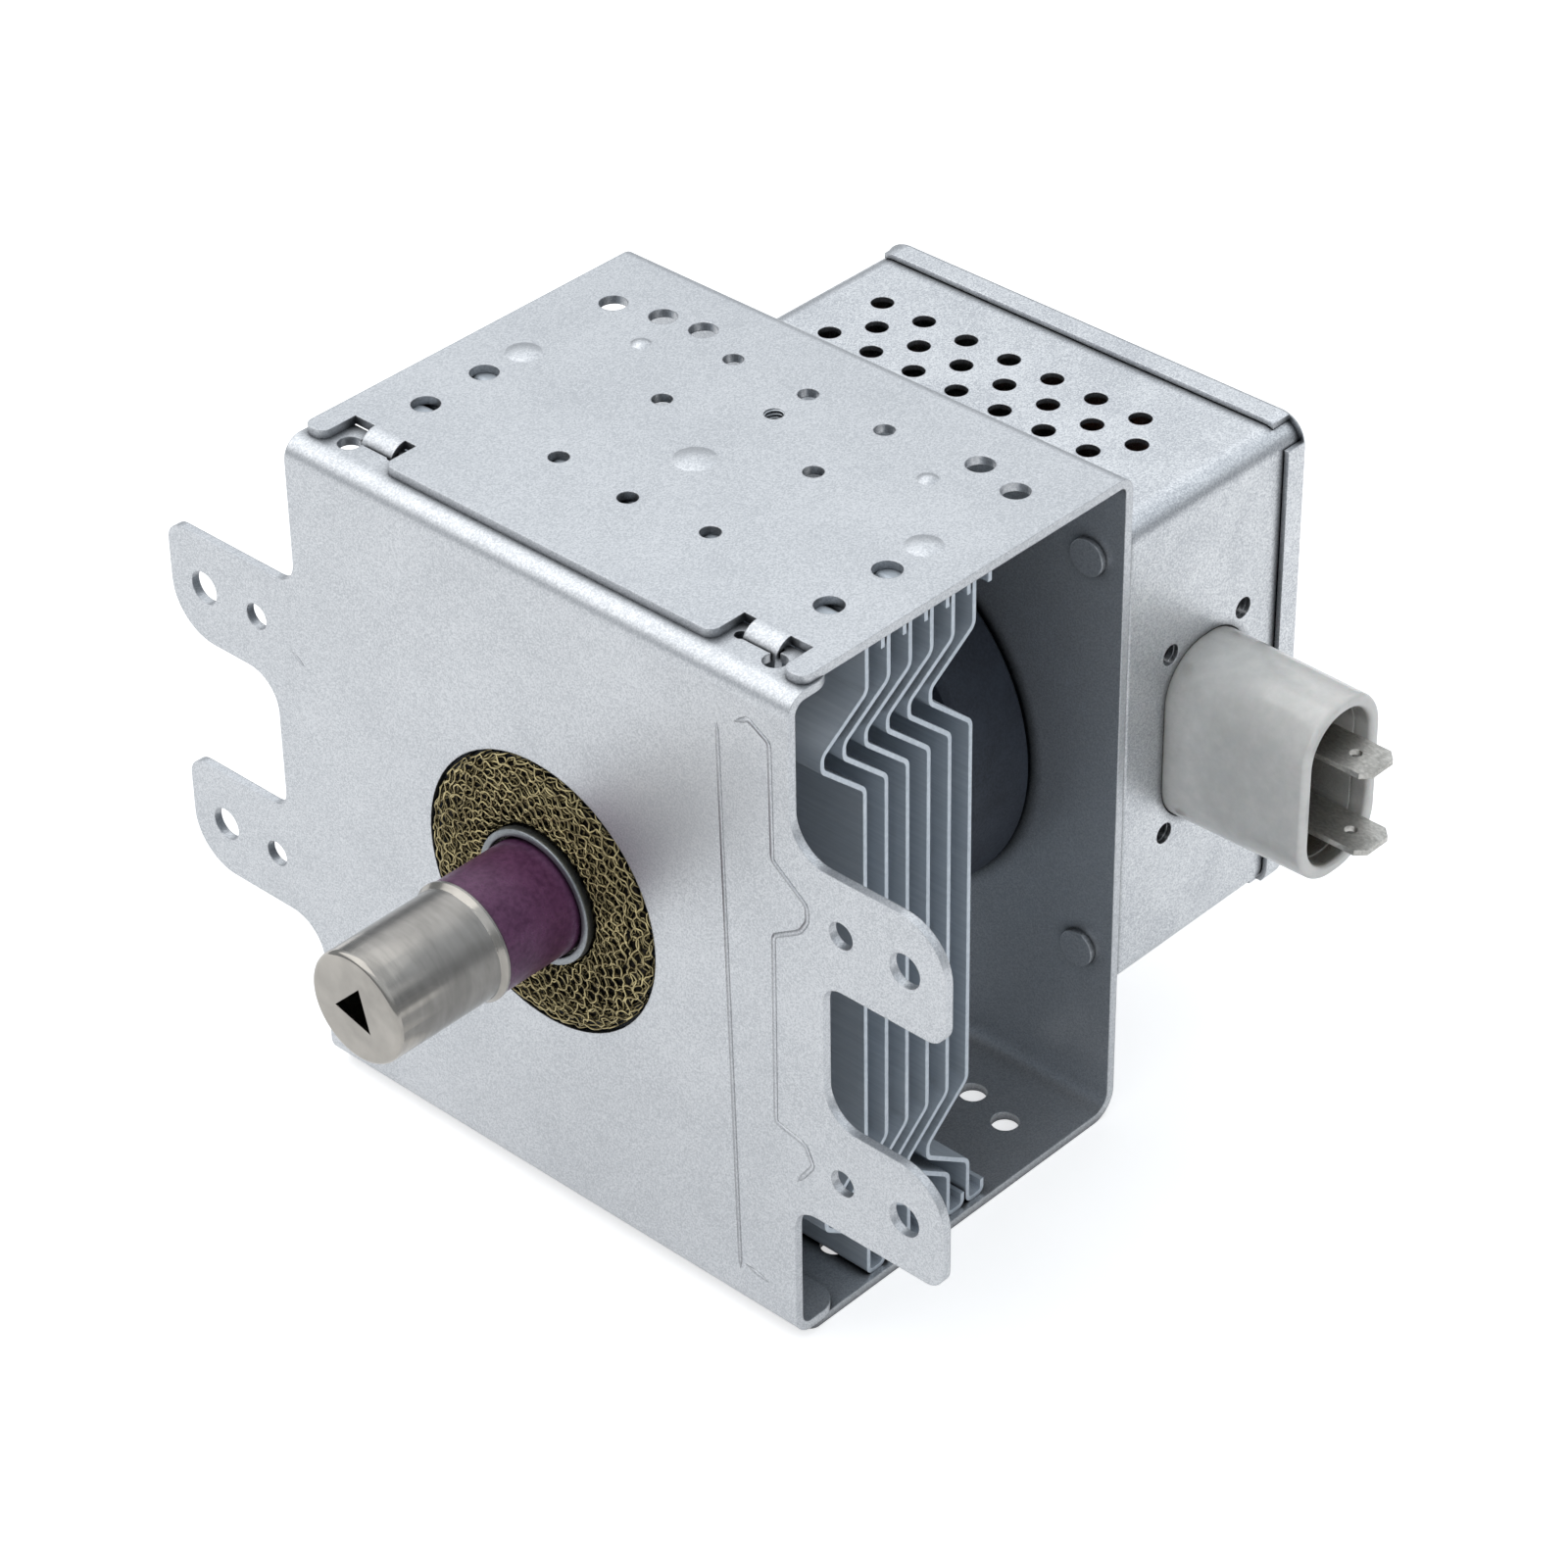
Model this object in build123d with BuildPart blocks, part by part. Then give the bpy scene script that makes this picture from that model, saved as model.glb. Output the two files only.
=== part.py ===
from build123d import *
import math
import os

# A magnetron, the air-cooled tube of a microwave oven, in its steel bracket.
# X runs to the right, towards the socket, Y runs back from the front plate to the filter box,
# and Z is up. The antenna's axis is the Y axis, and Y = 0 is the front plate's outer face, so
# the antenna stands out towards -Y.

# Bracket: one folded sheet that makes the top, the back and the bottom
bracket_height = 95.7
bracket_width = 81.0
bracket_depth = 59.9
bracket_sheet = 1.2
bracket_front = 3.0
upper_bend = 2.2
lower_bend = 3.8
front_corner = 1.4

# Tabs bent down through the front plate's flanges
tab_place = 31.1
tab_width = 5.2
tab_front = 5.7
tab_bend = 2.7
tab_inner_bend = 0.3
tab_reach = 2.6
tab_inner_gap = 1.9
tab_outer_gap = 3.4

# Holes in the bracket's top and bottom
large_hole = 3.7
side_hole_inset = 7.8
side_hole_front = 15.8
side_hole_second = 25.6
side_hole_back_inset = 12.0
rear_hole_place = 25.8
rear_hole_inset = 10.3
lone_hole_place = 19.85
lone_hole_inset = 9.4
small_hole = 2.65
small_hole_place = 12.3
small_hole_front = 17.9
small_hole_centre = 16.9
small_hole_middle = 35.4
small_hole_back_inset = 12.05
thread_core = 2.5
thread_inset = 18.05
thread_collar = 4.2
thread_collar_height = 1.3

# Dimples pressed up in the bracket's top
middle_dimple = 5.5
middle_dimple_depth = 28.2
side_dimple = 4.7
side_dimple_inset = 8.0
side_dimple_depth = 32.1
small_dimple = 2.6
small_dimple_place = 23.3
small_dimple_inset = 16.8
dimple_rise = 0.4

# Front plate: one sheet with four ears, its top and bottom edges bent back
front_sheet = 1.2
plate_width = 81.8
shoulder_width = 91.6
ear_span = 128.6
ear_top = 25.7
ear_bottom = 10.0
ear_round = 7.0
ear_corner = 2.8
upper_notch_round = 5.5
inner_notch_round = 2.8
lower_notch_round = 5.0
foot_notch_round = 3.5
flange_bend = 2.8
flange_reach = 8.2
flange_corner = 3.5
ear_hole = 4.6
ear_hole_inset = 6.1
ear_small_hole = 3.6
ear_small_hole_inset = 15.7
ear_hole_height = 18.1
slot_side_gap = 0.3
slot_front_gap = 0.1
slot_back_gap = 0.4
slot_relief = 3.0
slot_small_relief = 1.6
relief_offset = 0.5
relief_lift = 0.7

# Ring magnets
magnet_diameter = 54.0
magnet_thickness = 11.5
magnet_bore = 22.0
magnet_edge = 0.8

# Tube body
anode_diameter = 38.6
anode_wall = 1.8
cup_sheet = 0.6
cup_flange_inset = 0.7
pole_sheet = 1.5
pole_cone_radius = 14.5
pole_tip_radius = 6.6
pole_hole = 9.2
pole_bend = 1.6
pole_gap = 1.7
vane_count = 10
vane_thickness = 1.8
vane_length = 9.5
vane_tip_diameter = 9.0
strap_width = 0.7
strap_height = 0.8
strap_gap = 0.35
inner_strap_radius = 5.9
outer_strap_radius = 7.5
strap_relief = 0.8

# Cooling fins
fin_count = 6
fin_pitch = 3.66
fin_sheet = 0.6
fin_width = 79.2
first_fin_gap = 1.05
fin_kink_inset = 0.6
fin_kink_rise = 6.2
fin_kink_depth = 7.1
fin_crest = 2.3
fin_crest_round = 1.7
fin_kink_round = 1.2
fin_return_rise = 5.1
fin_return_depth = 7.5
fin_hook_depth = 3.3
fin_hook_reach = 2.2
fin_hook_round = 1.1
fin_collar = 2.4

# Antenna
collar_diameter = 17.4
collar_lip = 1.0
collar_round = 0.28
ledge_inner_diameter = 12.0
ledge_depth = 1.2
ceramic_diameter = 15.5
ceramic_bore = 12.4
ceramic_edge = 0.4
ceramic_end = 13.0
cap_diameter = 14.92
cap_sheet = 0.4
cap_end = 30.6
cap_round = 0.8
cap_rim_diameter = 16.0
cap_rim_height = 0.35
cap_rim_slope = 0.7
cap_hole_radius = 3.5
cap_hole_turn = 75
sleeve_sheet = 0.5
sleeve_height = 8.0
exhaust_diameter = 4.4
exhaust_bore = 3.0
exhaust_straight = 3.0
exhaust_pinch = 3.5
exhaust_root = 0.9
pinch_width = 5.6
pinch_thickness = 1.0
antenna_lead_diameter = 2.0
antenna_lead_radius = 10.0
antenna_lead_bend = 3.0
antenna_lead_run = 3.4
antenna_lead_hole = 3.6
antenna_lead_axis = 9.0

# Wire gasket
gasket_diameter = 37.3
gasket_inner = 18.4
gasket_proud = 0.9
gasket_round = 0.7
gasket_hole_gap = 0.35

# Cathode and its stem
hat_diameter = 7.8
hat_thickness = 1.0
hat_gap = 0.4
filament_diameter = 3.5
filament_wire = 0.5
filament_pitch = 1.25
lead_diameter = 1.4
lead_offset = 3.2
lead_jog_start = 14.0
lead_jog_run = 4.0
lead_bend = 1.8
hat_hole_gap = 0.25
stem_cup_diameter = 19.0
stem_cup_reach = 5.3
stem_diameter = 13.0
stem_inner_end = 3.0
stem_reach = 20.5
stem_edge = 0.5
terminal_diameter = 3.0
terminal_length = 4.5
terminal_cover = 1.5
back_hole_gap = 1.5
box_hole_gap = 0.3

# Filter box and its cover
box_left = 26.5
box_right = 40.3
box_top = 39.85
box_bottom = 28.35
box_depth = 32.3
box_sheet = 0.7
box_corner = 3.2
box_front_round = 0.9
vent_diameter = 3.0
vent_pitch = 7.03
vent_count = 7
vent_start = 17.1
vent_first_row = 10.4
vent_row_pitch = 4.95
vent_rows = 3
cover_gap = 0.12
lip_reach = 3.8
top_lip_inset = 1.8
side_lip_top_inset = 2.4
side_lip_bottom_inset = 0.7
rivet_diameter = 2.6
rivet_head = 5.0
rivet_head_height = 0.8
rivet_inset = 5.0

# Socket, blades and capacitor in the box's right wall
socket_depth = 15.6
socket_height = 4.5
socket_base_width = 15.5
socket_base_height = 26.0
socket_base_corner = 7.1
socket_reach = 21.3
socket_taper = 0.94
socket_wall = 1.7
socket_cavity_depth = 15.5
socket_cavity_corner = 5.4
socket_rim_round = 0.7
socket_gap = 0.15
blade_width = 6.3
blade_thickness = 0.8
blade_spacing = 11.4
blade_reach = 27.3
blade_tip = 1.2
blade_hole = 1.6
blade_hole_inset = 4.1
blade_gap = 0.1
blade_tail = 3.0
earth_sheet = 0.8
earth_width = 21.0
earth_height = 33.8
earth_corner = 2.0
earth_window_gap = 1.6
fixing_hole = 2.9
fixing_spacing_depth = 13.95
fixing_spacing_height = 26.7
capacitor_length = 13.0
capacitor_width = 14.0
capacitor_height = 24.5
capacitor_corner = 6.0

# Chokes in the filter box
core_diameter = 5.0
core_length = 25.0
coil_wire = 1.3
coil_pitch = 1.9
coil_turns = 11
coil_core_gap = 0.1
choke_centre = -2.5
choke_offset = 15.0
choke_depth = 16.0
choke_lead_side = 20.0
choke_lead_depth = 28.3
choke_lead_drop = 10.0
choke_lead_bend = 2.0
choke_lead_short_bend = 1.2
choke_lead_run = 2.5

# Places that follow from the sizes above
half_height = bracket_height / 2
half_width = bracket_width / 2
plate_inner = half_height - bracket_sheet
back_inner = bracket_depth - bracket_sheet
notch_back = tab_front + tab_bend
tab_tip = plate_inner - front_sheet - tab_reach
magnet_radius = magnet_diameter / 2
anode_radius = anode_diameter / 2
anode_bore = anode_radius - anode_wall
tube_front = front_sheet + magnet_thickness
tube_back = back_inner - magnet_thickness
tube_middle = (tube_front + tube_back) / 2
vane_front = tube_middle - vane_length / 2
vane_back = tube_middle + vane_length / 2
pole_front = tube_front + cup_sheet
first_fin = tube_front + first_fin_gap
cap_inner_radius = cap_diameter / 2 - cap_sheet
sleeve_end = ceramic_end + sleeve_height
front_hat_back = vane_front - hat_gap
rear_hat_front = vane_back + hat_gap
stem_cup_end = bracket_depth + stem_cup_reach
stem_start = stem_cup_end - stem_inner_end
stem_end = bracket_depth + stem_reach
lead_end = stem_end + terminal_length - terminal_cover
wall_inner = box_right - box_sheet
box_back = bracket_depth + box_depth
box_width = box_left + box_right
box_height = box_top + box_bottom
box_centre_x = (box_right - box_left) / 2
box_centre_z = (box_top - box_bottom) / 2
socket_y = bracket_depth + socket_depth
socket_mouth = box_right + socket_reach
socket_floor = socket_mouth - socket_cavity_depth
earth_inner = wall_inner - earth_sheet
capacitor_end = earth_inner - capacitor_length
blade_start = capacitor_end - blade_tail
choke_y = bracket_depth + choke_depth
coil_radius = (core_diameter + coil_wire) / 2 + coil_core_gap
coil_length = coil_turns * coil_pitch

mirror_sides = (-1, 1)


def facing(depth):
    """The plane at Y = depth, seen from the front: X to the right and Z up."""
    return Plane.XZ.offset(-depth)


def save(piece, node):
    """Names a finished piece and writes its file."""
    piece.label = node
    export_step(piece, f"parts/{node}.step")


def turned(outline, rounds=0):
    """A piece turned about the antenna's axis from (radius, Y) points."""
    with BuildPart() as piece:
        with BuildSketch(Plane.XY):
            with BuildLine():
                FilletPolyline(*outline, radius=rounds, close=True)
            make_face()
        revolve(axis=Axis.Y)
    return piece.part


def wire(route, bends, diameter):
    """A round wire along straight runs joined by bends."""
    with BuildPart() as piece:
        with BuildLine() as path:
            FilletPolyline(*route, radius=bends)
        with BuildSketch(Plane(path.line @ 0, z_dir=path.line % 0)):
            Circle(diameter / 2)
        sweep()
    return piece.part


def dome(diameter):
    """A low round dome standing on Z = 0."""
    base = diameter / 2
    sphere = (base**2 + dimple_rise**2) / (2 * dimple_rise)
    spread = math.degrees(math.asin(base / sphere))
    with BuildPart() as piece:
        with BuildSketch(Plane.XZ):
            with BuildLine():
                crown = CenterArc((0, dimple_rise - sphere), sphere, 90 - spread, spread)
                Polyline(crown @ 1, (0, 0), crown @ 0)
            make_face()
        revolve(axis=Axis.Z)
    return piece.part


os.makedirs("parts", exist_ok=True)

# Bracket. Its side view is a U lying on its side, and its plan has notches for the tabs.
side_dimple_place = half_width - side_dimple_inset
dimple_forms = [
    (dome(middle_dimple), [(0, middle_dimple_depth)]),
    (dome(side_dimple), [(s * side_dimple_place, side_dimple_depth) for s in mirror_sides]),
    (
        dome(small_dimple),
        [(s * small_dimple_place, bracket_depth - small_dimple_inset) for s in mirror_sides],
    ),
]
with BuildPart() as bracket:
    with BuildSketch(Plane.YZ.offset(-half_width)):
        with BuildLine():
            FilletPolyline(
                (bracket_front, -half_height),
                (bracket_depth, -half_height),
                (bracket_depth, half_height),
                (bracket_front, half_height),
                radius=(lower_bend, upper_bend),
            )
            offset(amount=bracket_sheet, side=Side.LEFT)
        make_face()
    extrude(amount=bracket_width)

    notch_width = tab_inner_gap + tab_width + tab_outer_gap
    notch_middle = tab_place + (tab_outer_gap - tab_inner_gap) / 2
    with BuildSketch(Plane.XY.offset(-half_height)) as plan:
        with Locations((0, bracket_front)):
            Rectangle(
                bracket_width,
                bracket_depth - bracket_front,
                align=(Align.CENTER, Align.MIN),
            )
        with Locations(*[(s * notch_middle, bracket_front) for s in mirror_sides]):
            Rectangle(
                notch_width,
                notch_back - bracket_front,
                align=(Align.CENTER, Align.MIN),
                mode=Mode.SUBTRACT,
            )
        fillet(plan.vertices().group_by(Axis.Y)[0], front_corner)
    extrude(amount=bracket_height, mode=Mode.INTERSECT)

    # Tabs, drawn sharp inside the bend so that they clear the flange's slots
    for side in mirror_sides:
        with BuildSketch(Plane.YZ.offset(side * tab_place - tab_width / 2)):
            with BuildLine():
                FilletPolyline(
                    (notch_back + bracket_sheet, half_height),
                    (tab_front, half_height),
                    (tab_front, tab_tip),
                    (tab_front + bracket_sheet, tab_tip),
                    (tab_front + bracket_sheet, plate_inner),
                    (notch_back + bracket_sheet, plate_inner),
                    radius=[0, tab_bend, 0, 0, tab_inner_bend, 0],
                    close=True,
                )
            make_face()
            mirror(about=Plane.XZ)
        extrude(amount=tab_width)

    side_column = half_width - side_hole_inset
    back_row = bracket_depth - side_hole_back_inset
    small_back_row = bracket_depth - small_hole_back_inset
    with BuildSketch(Plane.XY.offset(-half_height)):
        for side in mirror_sides:
            with Locations(
                (side * side_column, side_hole_front),
                (side * side_column, side_hole_second),
                (side * side_column, back_row),
                (side * rear_hole_place, bracket_depth - rear_hole_inset),
            ):
                Circle(large_hole / 2)
            with Locations(
                (side * small_hole_place, small_hole_front),
                (side * small_hole_place, small_hole_middle),
                (side * small_hole_place, small_back_row),
            ):
                Circle(small_hole / 2)
        with Locations((0, small_hole_centre), (0, small_back_row)):
            Circle(small_hole / 2)
    extrude(amount=bracket_height, mode=Mode.SUBTRACT)

    # The thread is cut in a collar drawn down from the top.
    with BuildSketch(Plane.XY.offset(plate_inner)):
        with Locations((0, bracket_depth - thread_inset)):
            Circle(thread_collar / 2)
    extrude(amount=-thread_collar_height)
    with BuildSketch(Plane.XY.offset(half_height)):
        with Locations((0, bracket_depth - thread_inset)):
            Circle(thread_core / 2)
        with Locations((-lone_hole_place, bracket_depth - lone_hole_inset)):
            Circle(large_hole / 2)
    extrude(amount=-bracket_sheet - thread_collar_height, mode=Mode.SUBTRACT)

    for form, places in dimple_forms:
        with Locations(*[(x, y, half_height) for x, y in places]):
            add(form)
        with Locations(*[(x, y, plate_inner) for x, y in places]):
            add(form, mode=Mode.SUBTRACT)

    # The tube's stem passes through the back, and rivets hold the filter box on it.
    rivet_places = [
        (x, z)
        for x in (rivet_inset - box_left, box_right - rivet_inset)
        for z in (rivet_inset - box_bottom, box_top - rivet_inset)
    ]
    with BuildSketch(facing(back_inner)):
        Circle(stem_cup_diameter / 2 + back_hole_gap)
        with Locations(*rivet_places):
            Circle(rivet_diameter / 2)
    extrude(amount=-bracket_sheet, mode=Mode.SUBTRACT)
save(bracket.part, "bracket")

# Front plate. The outline is the same after half a turn about the antenna's axis.
half_outline = [
    (plate_width / 2, plate_inner),
    (plate_width / 2, ear_top),
    (ear_span / 2, ear_top),
    (ear_span / 2, ear_bottom),
    (shoulder_width / 2, ear_bottom),
    (shoulder_width / 2, -ear_bottom),
    (ear_span / 2, -ear_bottom),
    (ear_span / 2, -ear_top),
    (plate_width / 2, -ear_top),
    (plate_width / 2, -plate_inner),
]
half_rounds = [
    0,
    upper_notch_round,
    ear_round,
    ear_corner,
    inner_notch_round,
    lower_notch_round,
    ear_round,
    ear_corner,
    foot_notch_round,
    0,
]
with BuildPart() as front_plate:
    with BuildSketch(Plane.YZ.offset(-ear_span / 2)):
        with BuildLine():
            FilletPolyline(
                (flange_reach, -plate_inner),
                (0, -plate_inner),
                (0, plate_inner),
                (flange_reach, plate_inner),
                radius=flange_bend,
            )
            offset(amount=front_sheet, side=Side.RIGHT)
        make_face()
    extrude(amount=ear_span)
    with BuildSketch(facing(0)):
        with BuildLine():
            FilletPolyline(
                *half_outline,
                *[(-x, -z) for x, z in half_outline],
                radius=half_rounds + half_rounds,
                close=True,
            )
        make_face()
    extrude(amount=-flange_reach, mode=Mode.INTERSECT)
    flange_corners = front_plate.edges().filter_by(Axis.Z).group_by(Axis.Y)[-1]
    fillet(flange_corners, flange_corner)

    gasket_seat = gasket_diameter / 2 + gasket_hole_gap
    with BuildSketch(facing(0)):
        Circle(gasket_seat)
        for side in mirror_sides:
            with Locations(
                (side * (ear_span / 2 - ear_hole_inset), ear_hole_height),
                (side * (ear_span / 2 - ear_hole_inset), -ear_hole_height),
            ):
                Circle(ear_hole / 2)
            with Locations(
                (side * (ear_span / 2 - ear_small_hole_inset), ear_hole_height),
                (side * (ear_span / 2 - ear_small_hole_inset), -ear_hole_height),
            ):
                Circle(ear_small_hole / 2)
    extrude(amount=-front_sheet, mode=Mode.SUBTRACT)

    slot_front = tab_front - slot_front_gap
    slot_back = tab_front + bracket_sheet + slot_back_gap
    slot_half = tab_width / 2 + slot_side_gap
    with BuildSketch(Plane.XY.offset(-plate_inner)):
        for side in mirror_sides:
            with Locations((side * tab_place, (slot_front + slot_back) / 2)):
                Rectangle(2 * slot_half, slot_back - slot_front)
            with Locations((side * (tab_place + slot_half + relief_offset), slot_front - relief_lift)):
                Circle(slot_relief / 2)
            with Locations((side * (tab_place - slot_half), slot_front + relief_offset)):
                Circle(slot_small_relief / 2)
    extrude(amount=2 * plate_inner, mode=Mode.SUBTRACT)
save(front_plate.part, "front_plate")

# Cooling fins. Each is one sheet: flat round the anode, kinked forward past the magnets, and
# hooked back where it meets the bracket's top and bottom.
kink_start = magnet_radius - fin_kink_inset
crest_start = kink_start + fin_kink_rise
crest_end = crest_start + fin_crest
return_end = crest_end + fin_return_rise
upper_half = [
    (0, kink_start),
    (-fin_kink_depth, crest_start),
    (-fin_kink_depth, crest_end),
    (fin_return_depth - fin_kink_depth, return_end),
    (fin_return_depth - fin_kink_depth, plate_inner),
    (fin_return_depth - fin_kink_depth + fin_hook_depth, plate_inner),
    (fin_return_depth - fin_kink_depth + fin_hook_depth, plate_inner - fin_hook_reach),
]
upper_rounds = [
    fin_kink_round,
    fin_crest_round,
    fin_crest_round,
    fin_kink_round,
    fin_hook_round,
    fin_hook_round,
]


def cooling_fin(front):
    """A fin whose flat middle has its front face at Y = front."""
    upper = [(front + y, z) for y, z in upper_half]
    lower = [(y, -z) for y, z in reversed(upper)]
    with BuildPart() as fin:
        with BuildSketch(Plane.YZ.offset(-fin_width / 2)):
            with BuildLine():
                FilletPolyline(*lower, *upper, radius=upper_rounds[::-1] + upper_rounds)
                offset(amount=fin_sheet, side=Side.RIGHT)
            make_face()
        extrude(amount=fin_width)
        with BuildSketch(facing(front)):
            Circle(anode_radius + fin_sheet)
        extrude(amount=-fin_collar)
        with BuildSketch(facing(front)):
            Circle(anode_radius)
        extrude(amount=-fin_collar, mode=Mode.SUBTRACT)
    return fin.part


for number in range(fin_count):
    save(cooling_fin(first_fin + number * fin_pitch), f"fin_{number + 1}")


# Ring magnets, one against the front plate and one against the bracket's back
def ring_magnet(front):
    """A magnet whose front face is at Y = front."""
    with BuildPart() as magnet:
        with BuildSketch(facing(front)):
            Circle(magnet_radius)
            Circle(magnet_bore / 2, mode=Mode.SUBTRACT)
        extrude(amount=-magnet_thickness)
        rims = magnet.edges().filter_by(GeomType.CIRCLE).group_by(SortBy.RADIUS)[-1]
        chamfer(rims, magnet_edge)
    return magnet.part


save(ring_magnet(front_sheet), "front_magnet")
save(ring_magnet(tube_back), "rear_magnet")

# Tube body: the cylinder between the pole pieces, with the vanes that divide it
anode_front = pole_front + pole_sheet
anode_back = tube_back - cup_sheet - pole_sheet
save(
    turned(
        [
            (anode_bore, anode_front),
            (anode_radius, anode_front),
            (anode_radius, anode_back),
            (anode_bore, anode_back),
        ]
    ),
    "anode_cylinder",
)

strap_channel_inner = inner_strap_radius - strap_width / 2 - strap_gap
strap_channel_outer = outer_strap_radius + strap_width / 2 + strap_gap
vane_angle = 360 / vane_count
with BuildPart() as anode_vanes:
    with BuildSketch(facing(vane_front)):
        with PolarLocations(0, vane_count):
            Rectangle(anode_bore, vane_thickness, align=(Align.MIN, Align.CENTER))
        Circle(anode_bore, mode=Mode.INTERSECT)
        Circle(vane_tip_diameter / 2, mode=Mode.SUBTRACT)
    extrude(amount=-vane_length)
    # Both straps lie in one channel, and every second vane is cut deeper under each.
    for edge, depth, strap_cut in (
        (vane_front, -strap_height, -strap_height - strap_relief),
        (vane_back, strap_height, strap_height + strap_relief),
    ):
        with BuildSketch(facing(edge)):
            Circle(strap_channel_outer)
            Circle(strap_channel_inner, mode=Mode.SUBTRACT)
        extrude(amount=depth, mode=Mode.SUBTRACT)
        with BuildSketch(facing(edge)):
            with PolarLocations(inner_strap_radius, vane_count // 2):
                Rectangle(strap_width + 2 * strap_gap, 2 * vane_thickness)
            with PolarLocations(outer_strap_radius, vane_count // 2, start_angle=vane_angle):
                Rectangle(strap_width + 2 * strap_gap, 2 * vane_thickness)
        extrude(amount=strap_cut, mode=Mode.SUBTRACT)
save(anode_vanes.part, "anode_vanes")

with BuildPart() as strap_rings:
    for edge in (vane_front, vane_back - strap_height):
        with BuildSketch(facing(edge)):
            for radius in (outer_strap_radius, inner_strap_radius):
                Circle(radius + strap_width / 2)
                Circle(radius - strap_width / 2, mode=Mode.SUBTRACT)
        extrude(amount=-strap_height)
save(strap_rings.part, "strap_rings")

# Pole pieces: funnels that carry the field to the ends of the vanes
with BuildPart() as front_pole_piece:
    with BuildSketch(Plane.XY):
        with BuildLine():
            FilletPolyline(
                (anode_radius, pole_front),
                (pole_cone_radius, pole_front),
                (pole_tip_radius, vane_front - pole_gap - pole_sheet),
                (pole_hole / 2, vane_front - pole_gap - pole_sheet),
                radius=pole_bend,
            )
            offset(amount=pole_sheet, side=Side.RIGHT)
        make_face()
    revolve(axis=Axis.Y)
with BuildPart() as rear_pole_piece:
    add(front_pole_piece.part)
    mirror(about=facing(tube_middle), mode=Mode.REPLACE)
with BuildPart() as pierced_pole_piece:
    add(front_pole_piece.part)
    with BuildSketch(facing(pole_front)):
        with Locations((antenna_lead_radius, 0)):
            Circle(antenna_lead_hole / 2)
    extrude(amount=-(vane_front - pole_front), mode=Mode.SUBTRACT)
save(pierced_pole_piece.part, "front_pole_piece")
save(rear_pole_piece.part, "rear_pole_piece")

# Antenna seal cup: a flange on the pole piece and a collar that the ceramic stands in
collar_radius = collar_diameter / 2
collar_bore = collar_radius - cup_sheet
flange_radius = anode_radius - cup_flange_inset
save(
    turned(
        [
            (collar_radius, -collar_lip),
            (collar_radius, tube_front),
            (flange_radius, tube_front),
            (flange_radius, pole_front),
            (collar_bore, pole_front),
            (collar_bore, ledge_depth + cup_sheet),
            (ledge_inner_diameter / 2, ledge_depth + cup_sheet),
            (ledge_inner_diameter / 2, ledge_depth),
            (collar_bore, ledge_depth),
            (collar_bore, -collar_lip),
        ],
        [collar_round, 0, 0, 0, 0, 0, 0, 0, 0, collar_round],
    ),
    "antenna_seal_cup",
)

ceramic_radius = ceramic_diameter / 2
save(
    turned(
        [
            (ceramic_bore / 2, ledge_depth),
            (ceramic_radius, ledge_depth),
            (ceramic_radius, -ceramic_end),
            (ceramic_bore / 2, -ceramic_end),
        ],
        [0, 0, ceramic_edge, 0],
    ),
    "antenna_ceramic",
)

# Sleeve that closes the ceramic and holds the exhaust tube, under the cap
save(
    turned(
        [
            (cap_inner_radius - sleeve_sheet, -ceramic_end),
            (cap_inner_radius, -ceramic_end),
            (cap_inner_radius, -sleeve_end),
            (exhaust_diameter / 2, -sleeve_end),
            (exhaust_diameter / 2, sleeve_sheet - sleeve_end),
            (cap_inner_radius - sleeve_sheet, sleeve_sheet - sleeve_end),
        ],
        [0, 0, sleeve_sheet, 0, 0, 0],
    ),
    "antenna_sleeve",
)

# Exhaust tube, pinched flat at its outer end
exhaust_start = -sleeve_end + sleeve_sheet + exhaust_root
pinch_start = -sleeve_end - exhaust_straight
with BuildPart() as exhaust_tube:
    with BuildSketch(facing(exhaust_start)):
        Circle(exhaust_diameter / 2)
    extrude(amount=exhaust_start - pinch_start)
    with BuildSketch(facing(pinch_start)):
        Circle(exhaust_diameter / 2)
    with BuildSketch(facing(pinch_start - exhaust_pinch)):
        SlotOverall(pinch_width, pinch_thickness)
    loft()
    with BuildSketch(facing(exhaust_start)):
        Circle(exhaust_bore / 2)
    extrude(amount=exhaust_start - pinch_start, mode=Mode.SUBTRACT)
save(exhaust_tube.part, "exhaust_tube")

# The lead from one vane, through the pole piece, along the axis and into the exhaust tube
save(
    wire(
        [
            (antenna_lead_radius, vane_front, 0),
            (antenna_lead_radius, pole_front + antenna_lead_run, 0),
            (0, antenna_lead_axis, 0),
            (0, pinch_start, 0),
        ],
        antenna_lead_bend,
        antenna_lead_diameter,
    ),
    "antenna_lead",
)

# Cap: a drawn cup with a flared rim and a triangular hole in its end
cap_radius = cap_diameter / 2
rim_radius = cap_rim_diameter / 2
rim_top = -ceramic_end - cap_rim_height
with BuildPart() as antenna_cap:
    with BuildSketch(Plane.XY):
        with BuildLine():
            FilletPolyline(
                (0, -cap_end),
                (cap_radius, -cap_end),
                (cap_radius, rim_top - cap_rim_slope),
                (rim_radius, rim_top),
                (rim_radius, -ceramic_end),
                (cap_inner_radius, -ceramic_end),
                (cap_inner_radius, cap_sheet - cap_end),
                (0, cap_sheet - cap_end),
                radius=[0, cap_round, cap_rim_height, 0, 0, 0, cap_round - cap_sheet, 0],
                close=True,
            )
        make_face()
    revolve(axis=Axis.Y)
    with BuildSketch(facing(-cap_end)):
        RegularPolygon(cap_hole_radius, 3, rotation=cap_hole_turn)
    extrude(amount=-cap_sheet, mode=Mode.SUBTRACT)
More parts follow.
